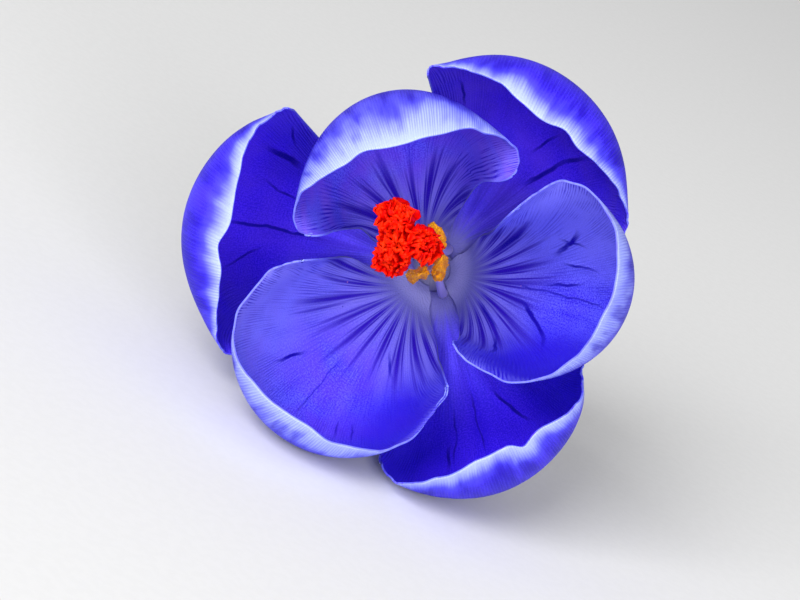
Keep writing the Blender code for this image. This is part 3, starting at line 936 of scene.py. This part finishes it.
def paint_outside(name, look, seed):
    """The face of a tepal that is outside: near white at the rim, deeper blue away from it, and painted
    shade in dents below the band.
    """
    graph = Graph(name, look.roughness, specular=PETAL_GLOSS)
    across, along = graph.uv("flat")
    fan, width = graph.uv("fan")
    margin = graph.uv("margin")[0]
    veins = vein_lines(graph, fan, width, along, look.vein_spacing / MM, seed)
    ray = graph.cloud(fan * OUTSIDE_RAY, along * 0.12, seed + 3)
    patch = graph.cloud(fan * OUTSIDE_PATCH, along * 0.14, seed + 7)
    grain = graph.cloud(across * OUTSIDE_GRAIN, along * OUTSIDE_GRAIN, seed, detail=1.0)
    band = look.band_width / MM
    depth = margin - (ray - 0.5) * band * 1.6 - (patch - 0.5) * band * 1.8
    tone = (ray * 1.2 + patch * 1.3 + grain * 0.9 - 1.2).rise(0.1, 0.9)
    color = graph.mix(look.back_deep, look.back_light, tone)
    color = graph.mix(color, look.back_middle, depth.rise(band * 2.4, 0.5))
    color = graph.mix(color, look.back_rim, depth.rise(band * 1.3, -0.3) * (grain * 0.4 + 0.8))
    lines = veins.rise(0.4, 0.95) * margin.rise(0.1, 2.0) * look.back_vein_strength
    color = graph.mix(color, look.back_vein, lines)
    # Painted shade: dark streaks for dents below the band.
    dents = ray.rise(0.48, 0.30) * margin.rise(0.8, 2.5) * margin.rise(band * 6, 3.0)
    color = graph.mix(color, look.back_dent_shade, dents * look.back_dent_shade_strength)
    graph.color(graph.mix(color, look.back_foot, along.rise(9.0, -1.0)))
    graph.bump(veins * 0.5 + ray * 0.5, PETAL_RELIEF * MM)
    return graph.material


def paint_edge(name, look):
    """The thin edge of a tepal."""
    graph = Graph(name, look.roughness, specular=PETAL_GLOSS)
    along = graph.uv("flat")[1]
    fan = graph.uv("fan")[0]
    speckle = graph.cloud(fan * 12, along * 1.5, 1.0)
    color = graph.mix(look.light, look.edge, speckle.rise(0.3, 0.6))
    graph.color(graph.mix(color, look.throat, along.rise(16.0, 6.0)))
    return graph.material


def flare_point(share, offset):
    """The throat's wall from the tube up to the rim, moved sideways by the offset, as radius and height."""
    slope = math.radians(FLARE_RIM_SLOPE)
    run = np.array([math.cos(slope), math.sin(slope)])
    rim = np.array([FLARE_RIM_RADIUS, FLARE_RIM_HEIGHT]) - run * 0.1
    foot = np.array([TUBE_RADIUS - TUBE_WALL / 2, -FLARE_DEPTH])
    handles = (foot, foot + np.array([0.0, FLARE_FOOT_HANDLE]), rim - run * FLARE_RIM_HANDLE, rim)
    share = np.atleast_1d(share)[:, None]
    ahead = bezier(*handles, (share + 0.01).clip(0.0, 1.0))
    behind = bezier(*handles, (share - 0.01).clip(0.0, 1.0))
    along = unit(ahead - behind)
    side = np.stack([-along[:, 1], along[:, 0]], axis=-1)
    return bezier(*handles, share) + side * offset[:, None]


def lip_offset(share):
    """How far the inside of the flare is from its middle surface: thinned at the lip, under the claws."""
    half = (TUBE_WALL + (RIM_WALL - TUBE_WALL) * share) / 2
    return half - LIP_THINNING * soft_step(share, LIP_ONSET, 1.0)


def tube_profile(steps):
    """The tube's wall as a closed outline: up its outer side, over the rim and down its inner side."""
    straight = np.linspace(-TUBE_LENGTH, -FLARE_DEPTH, steps)[:-1]
    share = np.linspace(0.0, 1.0, steps)
    half = (TUBE_WALL + (RIM_WALL - TUBE_WALL) * share) / 2
    outer = np.stack([np.full(steps - 1, TUBE_RADIUS), straight], axis=-1)
    inner = np.stack([np.full(steps - 1, TUBE_RADIUS - TUBE_WALL), straight], axis=-1)
    up = np.concatenate([outer, flare_point(share, -half)])
    down = np.concatenate([inner, flare_point(share, lip_offset(share))])[::-1]
    return np.concatenate([up, down, up[:1]])


def build_tube(settings, material):
    """The perianth tube: a sheet rolled round the axis and along the wall's outline, then bowed."""
    profile = tube_profile(TUBE_STEPS)
    rows = len(profile) - 1
    piece, around, along = add_sheet("perianth_tube_skin", settings.sides, rows)
    spot = np.rint(along * rows).astype(int)
    radius = profile[spot, 0]
    height = profile[spot, 1]
    angle = around * math.tau
    rib = 1 + TUBE_RIB_HEIGHT * np.cos(TUBE_RIBS * angle) * soft_step(-height, 2.0, 12.0)
    inner_side = spot >= rows // 2
    write_map(piece, "skin", around, height)
    write_map(piece, "side", inner_side.astype(float), radius)
    bow = TUBE_BOW * (np.minimum(height, 0.0) / TUBE_LENGTH) ** 2
    points = round_points(radius * rib, angle, height)
    move_vertices(piece, points + bow[:, None] * np.array(outward(TUBE_BOW_AZIMUTH)))
    merge_seams()
    give_materials(piece, material)
    finish_piece(piece, "perianth_tube")


def paint_tube(name, look, tepal_look):
    """The tube's skin: violet with veins under the cup, pale further down, and greyish lilac inside,
    growing paler deeper down as painted light that lifts the shade in the throat.
    """
    graph = Graph(name, look.roughness)
    around, height = graph.uv("skin")
    inside = graph.uv("side")[0]
    wander = graph.cloud(around * TUBE_VEINS, height * 0.08, 2.0)
    lines = ((around * TUBE_VEINS + wander * 0.5) * math.tau).math("COSINE").rise(0.2, 1.0)
    blotch = graph.cloud(around * 4, height * 0.2, 9.0)
    depth = height * -1 + (blotch - 0.5) * 12
    color = graph.mix(look.top, look.middle, depth.rise(0.0, 14.0))
    color = graph.mix(color, look.foot, depth.rise(14.0, 44.0))
    color = graph.mix(color, look.vein, lines * depth.rise(40.0, 4.0) * 0.5)
    # Painted light: the inside grows paler with depth, where shade falls in the throat.
    painted_lit_well = graph.mix(tepal_look.throat, look.deep, (height * -1).rise(1.0, 6.0))
    graph.color(graph.mix(color, painted_lit_well, inside))
    graph.bump(lines * 0.5 + blotch, 0.05 * MM)
    return graph.material


def between(rows, along):
    """What evenly spaced rows of numbers give at places from 0 to 1 along them."""
    shares = np.linspace(0.0, 1.0, len(rows))
    return np.stack([np.interp(along, shares, column) for column in rows.T], axis=-1)


def thread_points(path, radii, around, along):
    """Points on a round thread along a path, both given at shares from 0 to 1."""
    tangent = unit(np.gradient(path, axis=0))
    side = unit(np.cross(tangent, (1.0, 0.0, 0.0)))
    face = np.cross(side, tangent)
    angle = around[:, None] * math.tau
    ring = np.cos(angle) * between(side, along) + np.sin(angle) * between(face, along)
    return between(path, along) + between(radii[:, None], along) * ring


def build_thread(name, path, radii, rows):
    """A round thread along a path, closed with rounded ends, that keeps its length as a map."""
    piece, around, along = add_sheet(name, THREAD_SIDES, rows)
    length = np.linalg.norm(np.diff(path, axis=0), axis=-1).sum()
    from_end = np.minimum(along, 1 - along) * length
    cap = np.sqrt(1 - (1 - (from_end / radii[0]).clip(0.0, 1.0)) ** 2)
    points = thread_points(path, radii, around, along)
    middle = thread_points(path, radii * 0, around, along)
    write_map(piece, "thread", around, along * length)
    move_vertices(piece, middle + (points - middle) * cap[:, None])
    merge_seams()
    return piece


def style_point(height):
    """The style's middle at that height: bowed with the tube below, leaning above the throat."""
    if height < 0.0:
        bow = TUBE_BOW * (height / TUBE_LENGTH) ** 2
        return outward(TUBE_BOW_AZIMUTH) * bow + Vector((0.0, 0.0, height))
    lean = (height / STYLE_TOP.z) ** STYLE_LEAN_ONSET
    return Vector((STYLE_TOP.x * lean, STYLE_TOP.y * lean, height))


def style_direction():
    """Direction of the style at its top."""
    return (style_point(STYLE_TOP.z) - style_point(STYLE_TOP.z - 0.5)).normalized()


def build_style(settings, material):
    """The style, from the tube's cut end to inside the stigma."""
    heights = np.linspace(-TUBE_LENGTH, STYLE_TOP.z + STYLE_OVERRUN, STYLE_POINTS)
    path = np.array([style_point(height) for height in heights])
    flare = soft_step(heights, STYLE_TOP.z - 5.0, STYLE_TOP.z + 1.0)
    radii = (settings.style_radius / MM) * (1 + STYLE_FLARE * flare)
    piece = build_thread("style_thread", path, radii, STYLE_ROWS)
    give_materials(piece, material)
    finish_piece(piece, "style")


def anther_ends(stamen):
    """Foot and tip of a stamen's anther, which stands beside the leaning style."""
    middle = outward((stamen.foot_azimuth + stamen.tip_azimuth) / 2)
    foot = style_point(ANTHER_FOOT_HEIGHT) + middle * (stamen.splay * ANTHER_FOOT_SPLAY)
    tip = style_point(ANTHER_FOOT_HEIGHT + ANTHER_LENGTH) + outward(stamen.tip_azimuth) * stamen.splay
    return foot, foot + (tip - foot).normalized() * ANTHER_LENGTH


def anther_shape(points, lumps, seed):
    """A ball drawn out to an anther: two lumpy pollen sacs with a furrow between, notched at the foot."""
    x, y, z = points.T
    middle = np.exp(-((x / ANTHER_FURROW_WIDTH) ** 2))
    furrow = 1 - ANTHER_FURROW * middle
    taper = 1 - ANTHER_TAPER * (z + 1) / 2
    notch = ANTHER_NOTCH * middle * np.clip(-z - 0.5, 0.0, 0.5) * 2
    wobble = np.sin(9 * z + 4 * x + seed) + np.sin(17 * z - 7 * y + 2 * seed) + np.sin(23 * x + 13 * z)
    crumbs = np.array([noise.fractal(Vector(point) * CRUMB_FINENESS, 0.7, 2.0, 4) for point in points])
    swell = 1 + lumps * wobble / 3 + ANTHER_CRUMBS * crumbs
    return np.stack(
        [
            x * (ANTHER_HALF_WIDTH + ANTHER_DUST) * taper * swell,
            y * (ANTHER_HALF_DEPTH + ANTHER_DUST) * taper * furrow * swell,
            z * ANTHER_LENGTH / 2 + notch,
        ],
        axis=-1,
    )


def build_anther(number, stamen, settings, material):
    """An anther between its foot and its tip, its furrow turned away from the style."""
    piece = add_ball(f"anther_{number}_sacs", ANTHER_SEGMENTS, ANTHER_RINGS, 1.0)
    move_vertices(piece, anther_shape(vertex_places(piece), settings.lumps, number * 1.7))
    foot, tip = anther_ends(stamen)
    upright = (tip - foot).normalized()
    side = outward(stamen.tip_azimuth).cross(upright).normalized()
    turn = Matrix((side, upright.cross(side), upright)).transposed().to_4x4()
    piece.data.transform(Matrix.Translation((foot + tip) / 2) @ turn)
    give_materials(piece, material)
    finish_piece(piece, f"anther_{number}")


def build_filament(number, stamen, settings, material):
    """A filament from inside the wall of the throat up into its anther."""
    radius, height = flare_point(FILAMENT_SEAT, np.array([0.2]))[0]
    foot = outward(stamen.foot_azimuth) * radius + Vector((0.0, 0.0, height))
    anther_foot, anther_tip = anther_ends(stamen)
    direction = (anther_tip - anther_foot).normalized()
    top = anther_foot + direction * FILAMENT_OVERRUN
    foot_handle = foot + Vector((0.0, 0.0, FILAMENT_HANDLE))
    top_handle = top - direction * FILAMENT_HANDLE
    shares = np.linspace(0.0, 1.0, FILAMENT_POINTS)
    path = np.array([bezier(foot, foot_handle, top_handle, top, share) for share in shares])
    radii = np.linspace(settings.filament_foot_radius, settings.filament_top_radius, len(path)) / MM
    piece = build_thread(f"filament_{number}_stalk", path, radii, FILAMENT_ROWS)
    give_materials(piece, material)
    finish_piece(piece, f"filament_{number}")


def frilled_trumpet(branch, fill, frill, seed, u, v):
    """A trumpet whose mouth is folded in and out all round, less so on its smooth side.

    Fill is its size beside the branch's own: a smaller one stands inside the larger and fills it.
    """
    angle = u * math.tau
    cover = soft_step(np.cos(angle - math.radians(branch.smooth_side)), 0.0, 0.9)
    folds = round(branch.folds * (0.4 + 0.6 * fill))
    swing = folds * angle + 1.3 * np.sin(2 * angle + seed) + np.sin(3 * angle + 2 * seed)
    uneven = 0.75 + 0.25 * np.sin(3 * angle + 1.7 * seed)
    reach = v**1.4 * (1 - 0.8 * cover) * uneven
    fold = 0.5 + 0.5 * np.cos(swing)
    mouth = branch.mouth_radius * fill
    radius = NECK_RADIUS + (mouth - NECK_RADIUS) * v**1.1
    radius = radius * (1 + 0.14 * np.sin(2 * angle + seed) * v) * (1 - 0.4 * reach * fold)
    radius = radius * (1 - branch.flap * cover * v**3)
    curl = frill * v**2
    radius = radius + curl * (np.sin(31 * angle + seed) + 0.6 * np.sin(53 * angle - seed))
    angle = angle + 1.1 / folds * reach * np.sin(swing + 0.8)
    height = branch.length * (v + 0.1 * v**3 * (fold - 0.6)) + (1 - fill) * DOME * v
    height = height + branch.flap * 0.8 * cover * v**2
    height = height + 0.25 * v**2 * np.sin(2 * angle + 3 * seed)
    height = height + curl * 2.2 * (np.sin(23 * angle + 2 * seed) + 0.7 * np.sin(41 * angle))
    return round_points(radius, angle, height)


def crumple(piece, depth):
    """Push the piece's vertices about so that its folds lose their even order."""
    places = vertex_places(piece)
    noise.seed_set(CRUMPLE_SEED)
    coarse = np.array([noise.noise_vector(Vector(place) * CRUMPLE_FINENESS) for place in places])
    finer = [Vector(place) * CRUMPLE_FINENESS * CRUMPLE_RATIO for place in places]
    fine = np.array([noise.noise_vector(place) for place in finer])
    move_vertices(piece, places + depth * (coarse + fine / CRUMPLE_RATIO))


def build_stigma(settings, material):
    """The stigma: bundles of frilled trumpets, one in another, on a knob at the style's top."""
    axis = style_direction()
    lean = Vector((0.0, 0.0, 1.0)).rotation_difference(axis).to_matrix().to_4x4()
    foot = Matrix.Translation(STYLE_TOP + axis * KNOB_LIFT) @ lean
    trumpets = []
    for number, (branch, fill) in enumerate(itertools.product(BRANCHES, STIGMA_FILLS), start=1):
        piece, u, v = add_sheet(f"stigma_branch_{number}", FRILL_COLUMNS, FRILL_ROWS)
        write_map(piece, "frill", u, v)
        move_vertices(piece, frilled_trumpet(branch, fill, settings.frill / MM, number * 2.1, u, v))
        merge_seams()
        give_materials(piece, material)
        give_wall(piece, settings.frill_wall / MM, 0.0)
        tilt = Matrix.Rotation(math.radians(branch.spread), 4, "Y")
        turn = Matrix.Rotation(math.radians(branch.azimuth), 4, "Z")
        piece.data.transform(foot @ turn @ tilt)
        crumple(piece, settings.crumple / MM)
        trumpets.append(piece)
    knob = add_ball("stigma_frills", KNOB_SEGMENTS, KNOB_RINGS, KNOB_RADIUS)
    knob.data.uv_layers[0].name = "frill"
    knob.data.transform(foot)
    give_materials(knob, material)
    for trumpet in trumpets:
        trumpet.select_set(True)
    bpy.context.view_layer.objects.active = knob
    bpy.ops.object.join()
    finish_piece(knob, "stigma")


def paint_stigma(name, look):
    """The stigma's skin: darker red towards its neck, in its folds, as painted shade, lighter orange along
    its frills, partly their own colour and partly painted highlight, and an even painted glow.
    """
    graph = Graph(name, look.roughness, specular=0.06)
    up = graph.uv("frill")[1]
    place = graph.object_place()
    patch = graph.noise(place, FOLD_PATCHES)
    grain = graph.noise(place, FOLD_GRAINS)
    # Painted shade and highlight: darker red towards the neck, in the folds, and lighter orange along the
    # rims of the frills, partly their own colour.
    color = graph.mix(look.deep, look.body, (up + (patch - 0.5) * 0.5).rise(0.25, 0.8))
    color = graph.mix(color, look.ridge_and_highlight, (up + (patch - 0.5) * 0.25).rise(0.94, 1.06) * 0.8)
    graph.color(color)
    # Painted glow: an even emission in the body's colour that stands in for light coming through the thin
    # folds.
    graph.shader.inputs["Emission Color"].default_value = shade(look.body)
    graph.shader.inputs["Emission Strength"].default_value = look.painted_glow
    graph.bump(grain * 0.6 + patch * 0.4, 0.12 * MM)
    return graph.material


def paint_anther(name, look):
    """The anthers' skin: golden pollen in grains over darker, browner sacs."""
    graph = Graph(name, look.roughness, specular=0.1)
    place = graph.object_place()
    grains = graph.node("ShaderNodeTexVoronoi", {}, {"Vector": place, "Scale": POLLEN_GRAINS})
    patch = graph.noise(place, POLLEN_PATCHES)
    color = graph.mix(look.pollen, look.sac, patch.rise(0.42, 0.68) * 0.85)
    color = graph.mix(color, look.shadow, grains.rise(0.45, 0.95) * 0.55)
    graph.color(color)
    graph.bump(1 - grains, 0.09 * MM)
    return graph.material


def paint_thread(name, roughness, low, high, start, end):
    """A thread's skin, which goes from one colour to another along its length."""
    graph = Graph(name, roughness)
    around, length = graph.uv("thread")
    fibre = graph.cloud(around * 14, length * 0.4, 4.0)
    color = graph.mix(low, high, (length + (fibre - 0.5) * 4).rise(start, end))
    dark = [value * 0.7 for value in high]
    graph.color(graph.mix(color, dark, fibre.rise(0.5, 0.8) * 0.35))
    graph.bump(fibre, 0.05 * MM)
    return graph.material


def hue(name, description, color):
    """A colour setting."""
    return FloatVectorProperty(
        name=name, description=description, default=color, size=3, min=0.0, max=1.0, subtype="COLOR"
    )


def factor(name, description, default, high=1.0):
    """A setting that is a plain factor."""
    return FloatProperty(name=name, description=description, default=default, min=0.0, max=high)


def extent(name, description, default):
    """A length setting, in metres."""
    return FloatProperty(name=name, description=description, default=default, min=0.0, unit="LENGTH")


class CrocusTepalForm(bpy.types.PropertyGroup):
    """Form that all six tepals share."""

    thickness: extent("Thickness", "Thickness of a tepal", 0.0002)
    ripple: extent("Rim Ripple", "Height of the fine ripples along the rim", 0.00007)
    crease_depth: extent("Crease Depth", "Depth of the fold lines", 0.00018)


class CrocusTepalLook(bpy.types.PropertyGroup):
    """Colours and markings of a whorl of tepals."""

    roughness: factor("Roughness", "Roughness of the skin", 0.5)
    vein_spacing: extent("Vein Spacing", "Distance between fine veins", 0.00028)
    vein_strength: factor("Vein Strength", "How dark the fine veins are inside the blade", 0.5)
    stripes: factor("Stripes", "Bold stripes for each radian of the fan", 3.2, high=20.0)
    stripe_strength: factor("Stripe Strength", "How dark the bold stripes are", 1.0)
    stripe_end: extent("Stripe End", "How far from the foot the bold stripes reach", 0.021)
    stripe_spread: extent("Stripe Spread", "How much the stripes differ in length", 0.012)
    pale_strength: factor("Pale Strength", "How pale the ground between the stripes is", 0.8)
    throat_reach: extent("Throat Reach", "How far from the foot the throat's colour reaches", 0.0064)
    margin_width: extent("Margin Width", "Width of the paler margin", 0.007)
    margin_strength: factor("Margin Strength", "How pale the margin is", 0.5)
    edge_strength: factor("Edge Strength", "How pale the very edge is", 0.45)
    band_width: extent("Band Width", "Width of the pale band along the rim outside", 0.0046)
    back_vein_strength: factor("Outside Vein Strength", "How dark the veins outside are", 0.35)
    # Painted shade in the dents below the band.
    back_dent_shade_strength: factor("Outside Dent Strength", "How dark the dents below the band are", 0.5)
    deep: hue("Deep", "Deeper colour inside the cup", (0.028, 0.017, 0.62))
    light: hue("Light", "Lighter colour inside the cup", (0.12, 0.115, 0.86))
    violet: hue("Violet", "Violet patches inside the cup", (0.15, 0.055, 0.70))
    vein: hue("Vein", "Fine veins", (0.018, 0.005, 0.50))
    margin: hue("Margin", "Paler margin", (0.27, 0.27, 0.92))
    edge: hue("Edge", "Very edge", (0.16, 0.18, 0.80))
    stripe: hue("Stripe", "Bold dark stripes", (0.022, 0.004, 0.34))
    pale: hue("Pale", "Pale ground between the stripes", (0.19, 0.17, 0.62))
    throat: hue("Throat", "Throat", (0.112, 0.108, 0.33))
    # Painted light: paler than the throat, down in the shaded throat.
    painted_lit_well: hue("Well", "Foot of the tepal, down in the throat", (0.34, 0.33, 0.66))
    # Painted shade in the fold lines; the soil specks take this colour too.
    fold: hue("Fold", "Fold lines", (0.008, 0.002, 0.30))
    pollen: hue("Pollen", "Grains of pollen that have dropped", (0.80, 0.28, 0.22))
    back_rim: hue("Outside Rim", "Band along the rim outside", (0.31, 0.365, 0.91))
    back_middle: hue("Outside Middle", "Below the band outside", (0.115, 0.12, 0.82))
    back_light: hue("Outside Light", "Lighter colour outside", (0.056, 0.038, 0.72))
    back_deep: hue("Outside Deep", "Deeper colour outside", (0.014, 0.003, 0.44))
    back_vein: hue("Outside Vein", "Veins outside", (0.06, 0.04, 0.75))
    # Painted shade in the dents below the band outside.
    back_dent_shade: hue("Outside Dent", "Dents below the band outside", (0.016, 0.004, 0.42))
    back_foot: hue("Outside Foot", "Foot of the tepal outside", (0.22, 0.18, 0.62))


class CrocusTubeLook(bpy.types.PropertyGroup):
    """Form and colours of the perianth tube."""

    sides: IntProperty(name="Sides", description="Faces round the tube", default=72, min=12)
    roughness: factor("Roughness", "Roughness of the skin", 0.45)
    top: hue("Top", "Skin just under the cup", (0.18, 0.13, 0.62))
    middle: hue("Middle", "Skin halfway down", (0.52, 0.46, 0.82))
    foot: hue("Foot", "Skin near the cut end", (0.80, 0.80, 0.84))
    vein: hue("Vein", "Veins of the skin", (0.16, 0.10, 0.55))
    # Painted light: a pale colour deep inside the shaded throat.
    deep: hue("Well", "Deep inside the throat", (0.66, 0.64, 0.88))


class CrocusHeartLook(bpy.types.PropertyGroup):
    """Form and colours of the stamens, the style and the stigma."""

    filament_foot_radius: extent("Filament Foot", "Radius of a filament at its foot", 0.0006)
    filament_top_radius: extent("Filament Top", "Radius of a filament at its top", 0.00032)
    style_radius: extent("Style", "Radius of the style", 0.00045)
    lumps: factor("Lumps", "How lumpy the pollen sacs are", 0.2)
    frill: extent("Frill", "Height of the fine frills of the stigma", 0.00004)
    crumple: extent("Crumple", "How far the stigma's folds are pushed about", 0.0006)
    frill_wall: extent("Frill Wall", "Thickness of the stigma's folds", 0.0002)
    roughness: factor("Roughness", "Roughness of the stigma", 0.45)
    # Painted glow: emission that stands in for light through the thin folds.
    painted_glow: factor("Glow", "Light that comes through the thin folds of the stigma", 0.07)
    # Painted shade: darker red in the folds.
    deep: hue("Deep", "In the folds of the stigma", (0.55, 0.002, 0.0005))
    body: hue("Body", "Sides of the stigma's folds", (0.60, 0.0015, 0.0003))
    # Partly the frills' own orange, partly painted highlight.
    ridge_and_highlight: hue("Ridge", "Along the frills", (0.92, 0.030, 0.002))
    pollen: hue("Pollen", "Pollen on the anthers", (1.0, 0.42, 0.008))
    sac: hue("Sac", "Sacs between the pollen", (0.95, 0.29, 0.006))
    shadow: hue("Pits", "Between the grains of pollen", (0.50, 0.11, 0.004))
    filament: hue("Filament", "Filaments", (0.46, 0.40, 0.62))
    style_low: hue("Style Foot", "Style inside the tube", (0.80, 0.74, 0.55))
    style_high: hue("Style Top", "Style under the stigma", (0.92, 0.24, 0.02))


class CrocusStageLook(bpy.types.PropertyGroup):
    """Floor, lights and camera."""

    floor: hue("Floor", "Plain pale floor", (0.68, 0.68, 0.68))
    sky: factor("Sky", "Strength of the even light", 0.40, high=10.0)
    key: factor("Key Light", "Power of the main light, in watts", 30.0, high=100.0)
    fill: factor("Fill Light", "Power of the fill light, in watts", 20.0, high=100.0)
    lens: FloatProperty(name="Lens", description="Focal length, in millimetres", default=135.4, min=10.0)


class CrocusSettings(bpy.types.PropertyGroup):
    """All settings of the crocus flower."""

    form: PointerProperty(type=CrocusTepalForm)
    inner: PointerProperty(type=CrocusTepalLook)
    outer: PointerProperty(type=CrocusTepalLook)
    tube: PointerProperty(type=CrocusTubeLook)
    heart: PointerProperty(type=CrocusHeartLook)
    stage: PointerProperty(type=CrocusStageLook)


class CROCUS_OT_tepals(bpy.types.Operator):
    """Build the six tepals with their veined faces."""

    bl_idname = "crocus.tepals"
    bl_label = "Tepals"

    def execute(self, context):
        settings = context.scene.crocus
        for number, node in enumerate(TEPALS, start=1):
            look = settings.outer if node.startswith("outer") else settings.inner
            materials = (
                paint_inside(f"{node}_inside", look, CREASES[node], TINTS_AND_PAINTED_LIGHT[node], number * 7.0),
                paint_outside(f"{node}_outside", look, number * 5.0),
                paint_edge(f"{node}_edge", look),
            )
            build_tepal(node, settings.form, materials)
        return {"FINISHED"}


class CROCUS_OT_tube(bpy.types.Operator):
    """Build the perianth tube."""

    bl_idname = "crocus.tube"
    bl_label = "Perianth Tube"

    def execute(self, context):
        settings = context.scene.crocus
        build_tube(settings.tube, paint_tube("tube_skin", settings.tube, settings.inner))
        return {"FINISHED"}


class CROCUS_OT_stamens(bpy.types.Operator):
    """Build the three stamens, each a filament with its anther."""

    bl_idname = "crocus.stamens"
    bl_label = "Stamens"

    def execute(self, context):
        heart = context.scene.crocus.heart
        pollen = paint_anther("anther_pollen", heart)
        stalk = paint_thread("filament_skin", 0.5, heart.filament, heart.filament, 0.0, 10.0)
        for number, stamen in enumerate(STAMENS, start=1):
            build_filament(number, stamen, heart, stalk)
            build_anther(number, stamen, heart, pollen)
        return {"FINISHED"}


class CROCUS_OT_style(bpy.types.Operator):
    """Build the style."""

    bl_idname = "crocus.style"
    bl_label = "Style"

    def execute(self, context):
        heart = context.scene.crocus.heart
        build_style(heart, paint_thread("style_skin", 0.45, heart.style_low, heart.style_high, 48.0, 72.0))
        return {"FINISHED"}


class CROCUS_OT_stigma(bpy.types.Operator):
    """Build the frilled stigma."""

    bl_idname = "crocus.stigma"
    bl_label = "Stigma"

    def execute(self, context):
        heart = context.scene.crocus.heart
        build_stigma(heart, paint_stigma("stigma_skin", heart))
        return {"FINISHED"}


def add_area_light(name, place, power):
    """A square area light at a place about the flower, turned to the middle of the cup."""
    middle = flower_matrix() @ Vector((0.0, 0.0, VIEW_HEIGHT))
    stand = flower_matrix() @ place
    bpy.ops.object.select_all(action="DESELECT")
    bpy.ops.object.light_add(type="AREA", location=stand)
    lamp = bpy.context.object
    lamp.name = name
    lamp.data.shape = "SQUARE"
    lamp.data.size = LIGHT_SIZE
    lamp.data.energy = power
    lamp.rotation_euler = (middle - stand).to_track_quat("-Z", "Y").to_euler()


def add_camera(lens):
    """The camera, which looks down into the cup as the photo does."""
    tilt = math.radians(VIEW_TILT)
    back = Vector((0.0, math.sin(tilt), 1.0)).normalized()
    up = Vector((0.0, 1.0, 0.0)) - back * back.y
    right = up.cross(back).normalized()
    place = Vector((0.0, 0.0, VIEW_HEIGHT)) + back * VIEW_DISTANCE
    stand = flower_matrix() @ Matrix.Translation(place)
    turn = flower_matrix().to_3x3().normalized() @ Matrix((right, up.normalized(), back)).transposed()
    bpy.ops.object.camera_add(location=stand.translation, rotation=turn.to_euler())
    camera = bpy.context.object
    camera.name = "photo_camera"
    camera.data.lens = lens
    camera.data.sensor_width = SENSOR_WIDTH
    camera.data.shift_x, camera.data.shift_y = VIEW_SHIFT
    camera.data.clip_start = NEAR_CLIP
    bpy.context.scene.camera = camera


class CROCUS_OT_stage(bpy.types.Operator):
    """Build the floor, the lights and the camera."""

    bl_idname = "crocus.stage"
    bl_label = "Stage"

    def execute(self, context):
        look = context.scene.crocus.stage
        bpy.ops.object.select_all(action="DESELECT")
        bpy.ops.mesh.primitive_plane_add(size=FLOOR_SIZE, location=(0.0, 0.0, 0.0))
        floor = context.object
        floor.name = "floor"
        graph = Graph("floor_paper", 0.9, specular=0.1)
        tooth = graph.noise(graph.object_place(), PAPER_TOOTH)
        dim = [value * 0.985 for value in look.floor]
        graph.color(graph.mix(look.floor, dim, tooth.rise(0.4, 0.6)))
        floor.data.materials.append(graph.material)
        add_area_light("key_light", KEY_PLACE, look.key)
        add_area_light("fill_light", FILL_PLACE, look.fill)
        world = bpy.data.worlds.new("soft_light")
        world.use_nodes = True
        sky = world.node_tree.nodes["Background"]
        sky.inputs["Color"].default_value = (1.0, 1.0, 1.0, 1.0)
        sky.inputs["Strength"].default_value = look.sky
        context.scene.world = world
        context.scene.view_settings.view_transform = "Standard"
        add_camera(look.lens)
        return {"FINISHED"}


class CROCUS_PT_panel(bpy.types.Panel):
    """Sidebar panel that lists the steps and their settings."""

    bl_idname = "CROCUS_PT_panel"
    bl_label = "Crocus Flower"
    bl_space_type = "VIEW_3D"
    bl_region_type = "UI"
    bl_category = "Crocus"

    def draw(self, context):
        for step in STEPS:
            self.layout.operator(step.bl_idname)
        settings = context.scene.crocus
        for part in ("form", "inner", "outer", "tube", "heart", "stage"):
            group = getattr(settings, part)
            box = self.layout.box()
            for name in group.bl_rna.properties.keys():
                if name not in ("rna_type", "name"):
                    box.prop(group, name)


GROUPS = (
    CrocusTepalForm,
    CrocusTepalLook,
    CrocusTubeLook,
    CrocusHeartLook,
    CrocusStageLook,
    CrocusSettings,
)
STEPS = (
    CROCUS_OT_tepals,
    CROCUS_OT_tube,
    CROCUS_OT_stamens,
    CROCUS_OT_style,
    CROCUS_OT_stigma,
    CROCUS_OT_stage,
)
CLASSES = (*GROUPS, *STEPS, CROCUS_PT_panel)


def register():
    for item in CLASSES:
        bpy.utils.register_class(item)
    bpy.types.Scene.crocus = PointerProperty(type=CrocusSettings)


def unregister():
    del bpy.types.Scene.crocus
    for item in reversed(CLASSES):
        bpy.utils.unregister_class(item)


def main():
    register()
    for name, value in OUTER_LOOK.items():
        setattr(bpy.context.scene.crocus.outer, name, value)
    bpy.ops.crocus.tepals()
    bpy.ops.crocus.tube()
    bpy.ops.crocus.stamens()
    bpy.ops.crocus.style()
    bpy.ops.crocus.stigma()
    bpy.ops.crocus.stage()


if __name__ == "__main__":
    main()
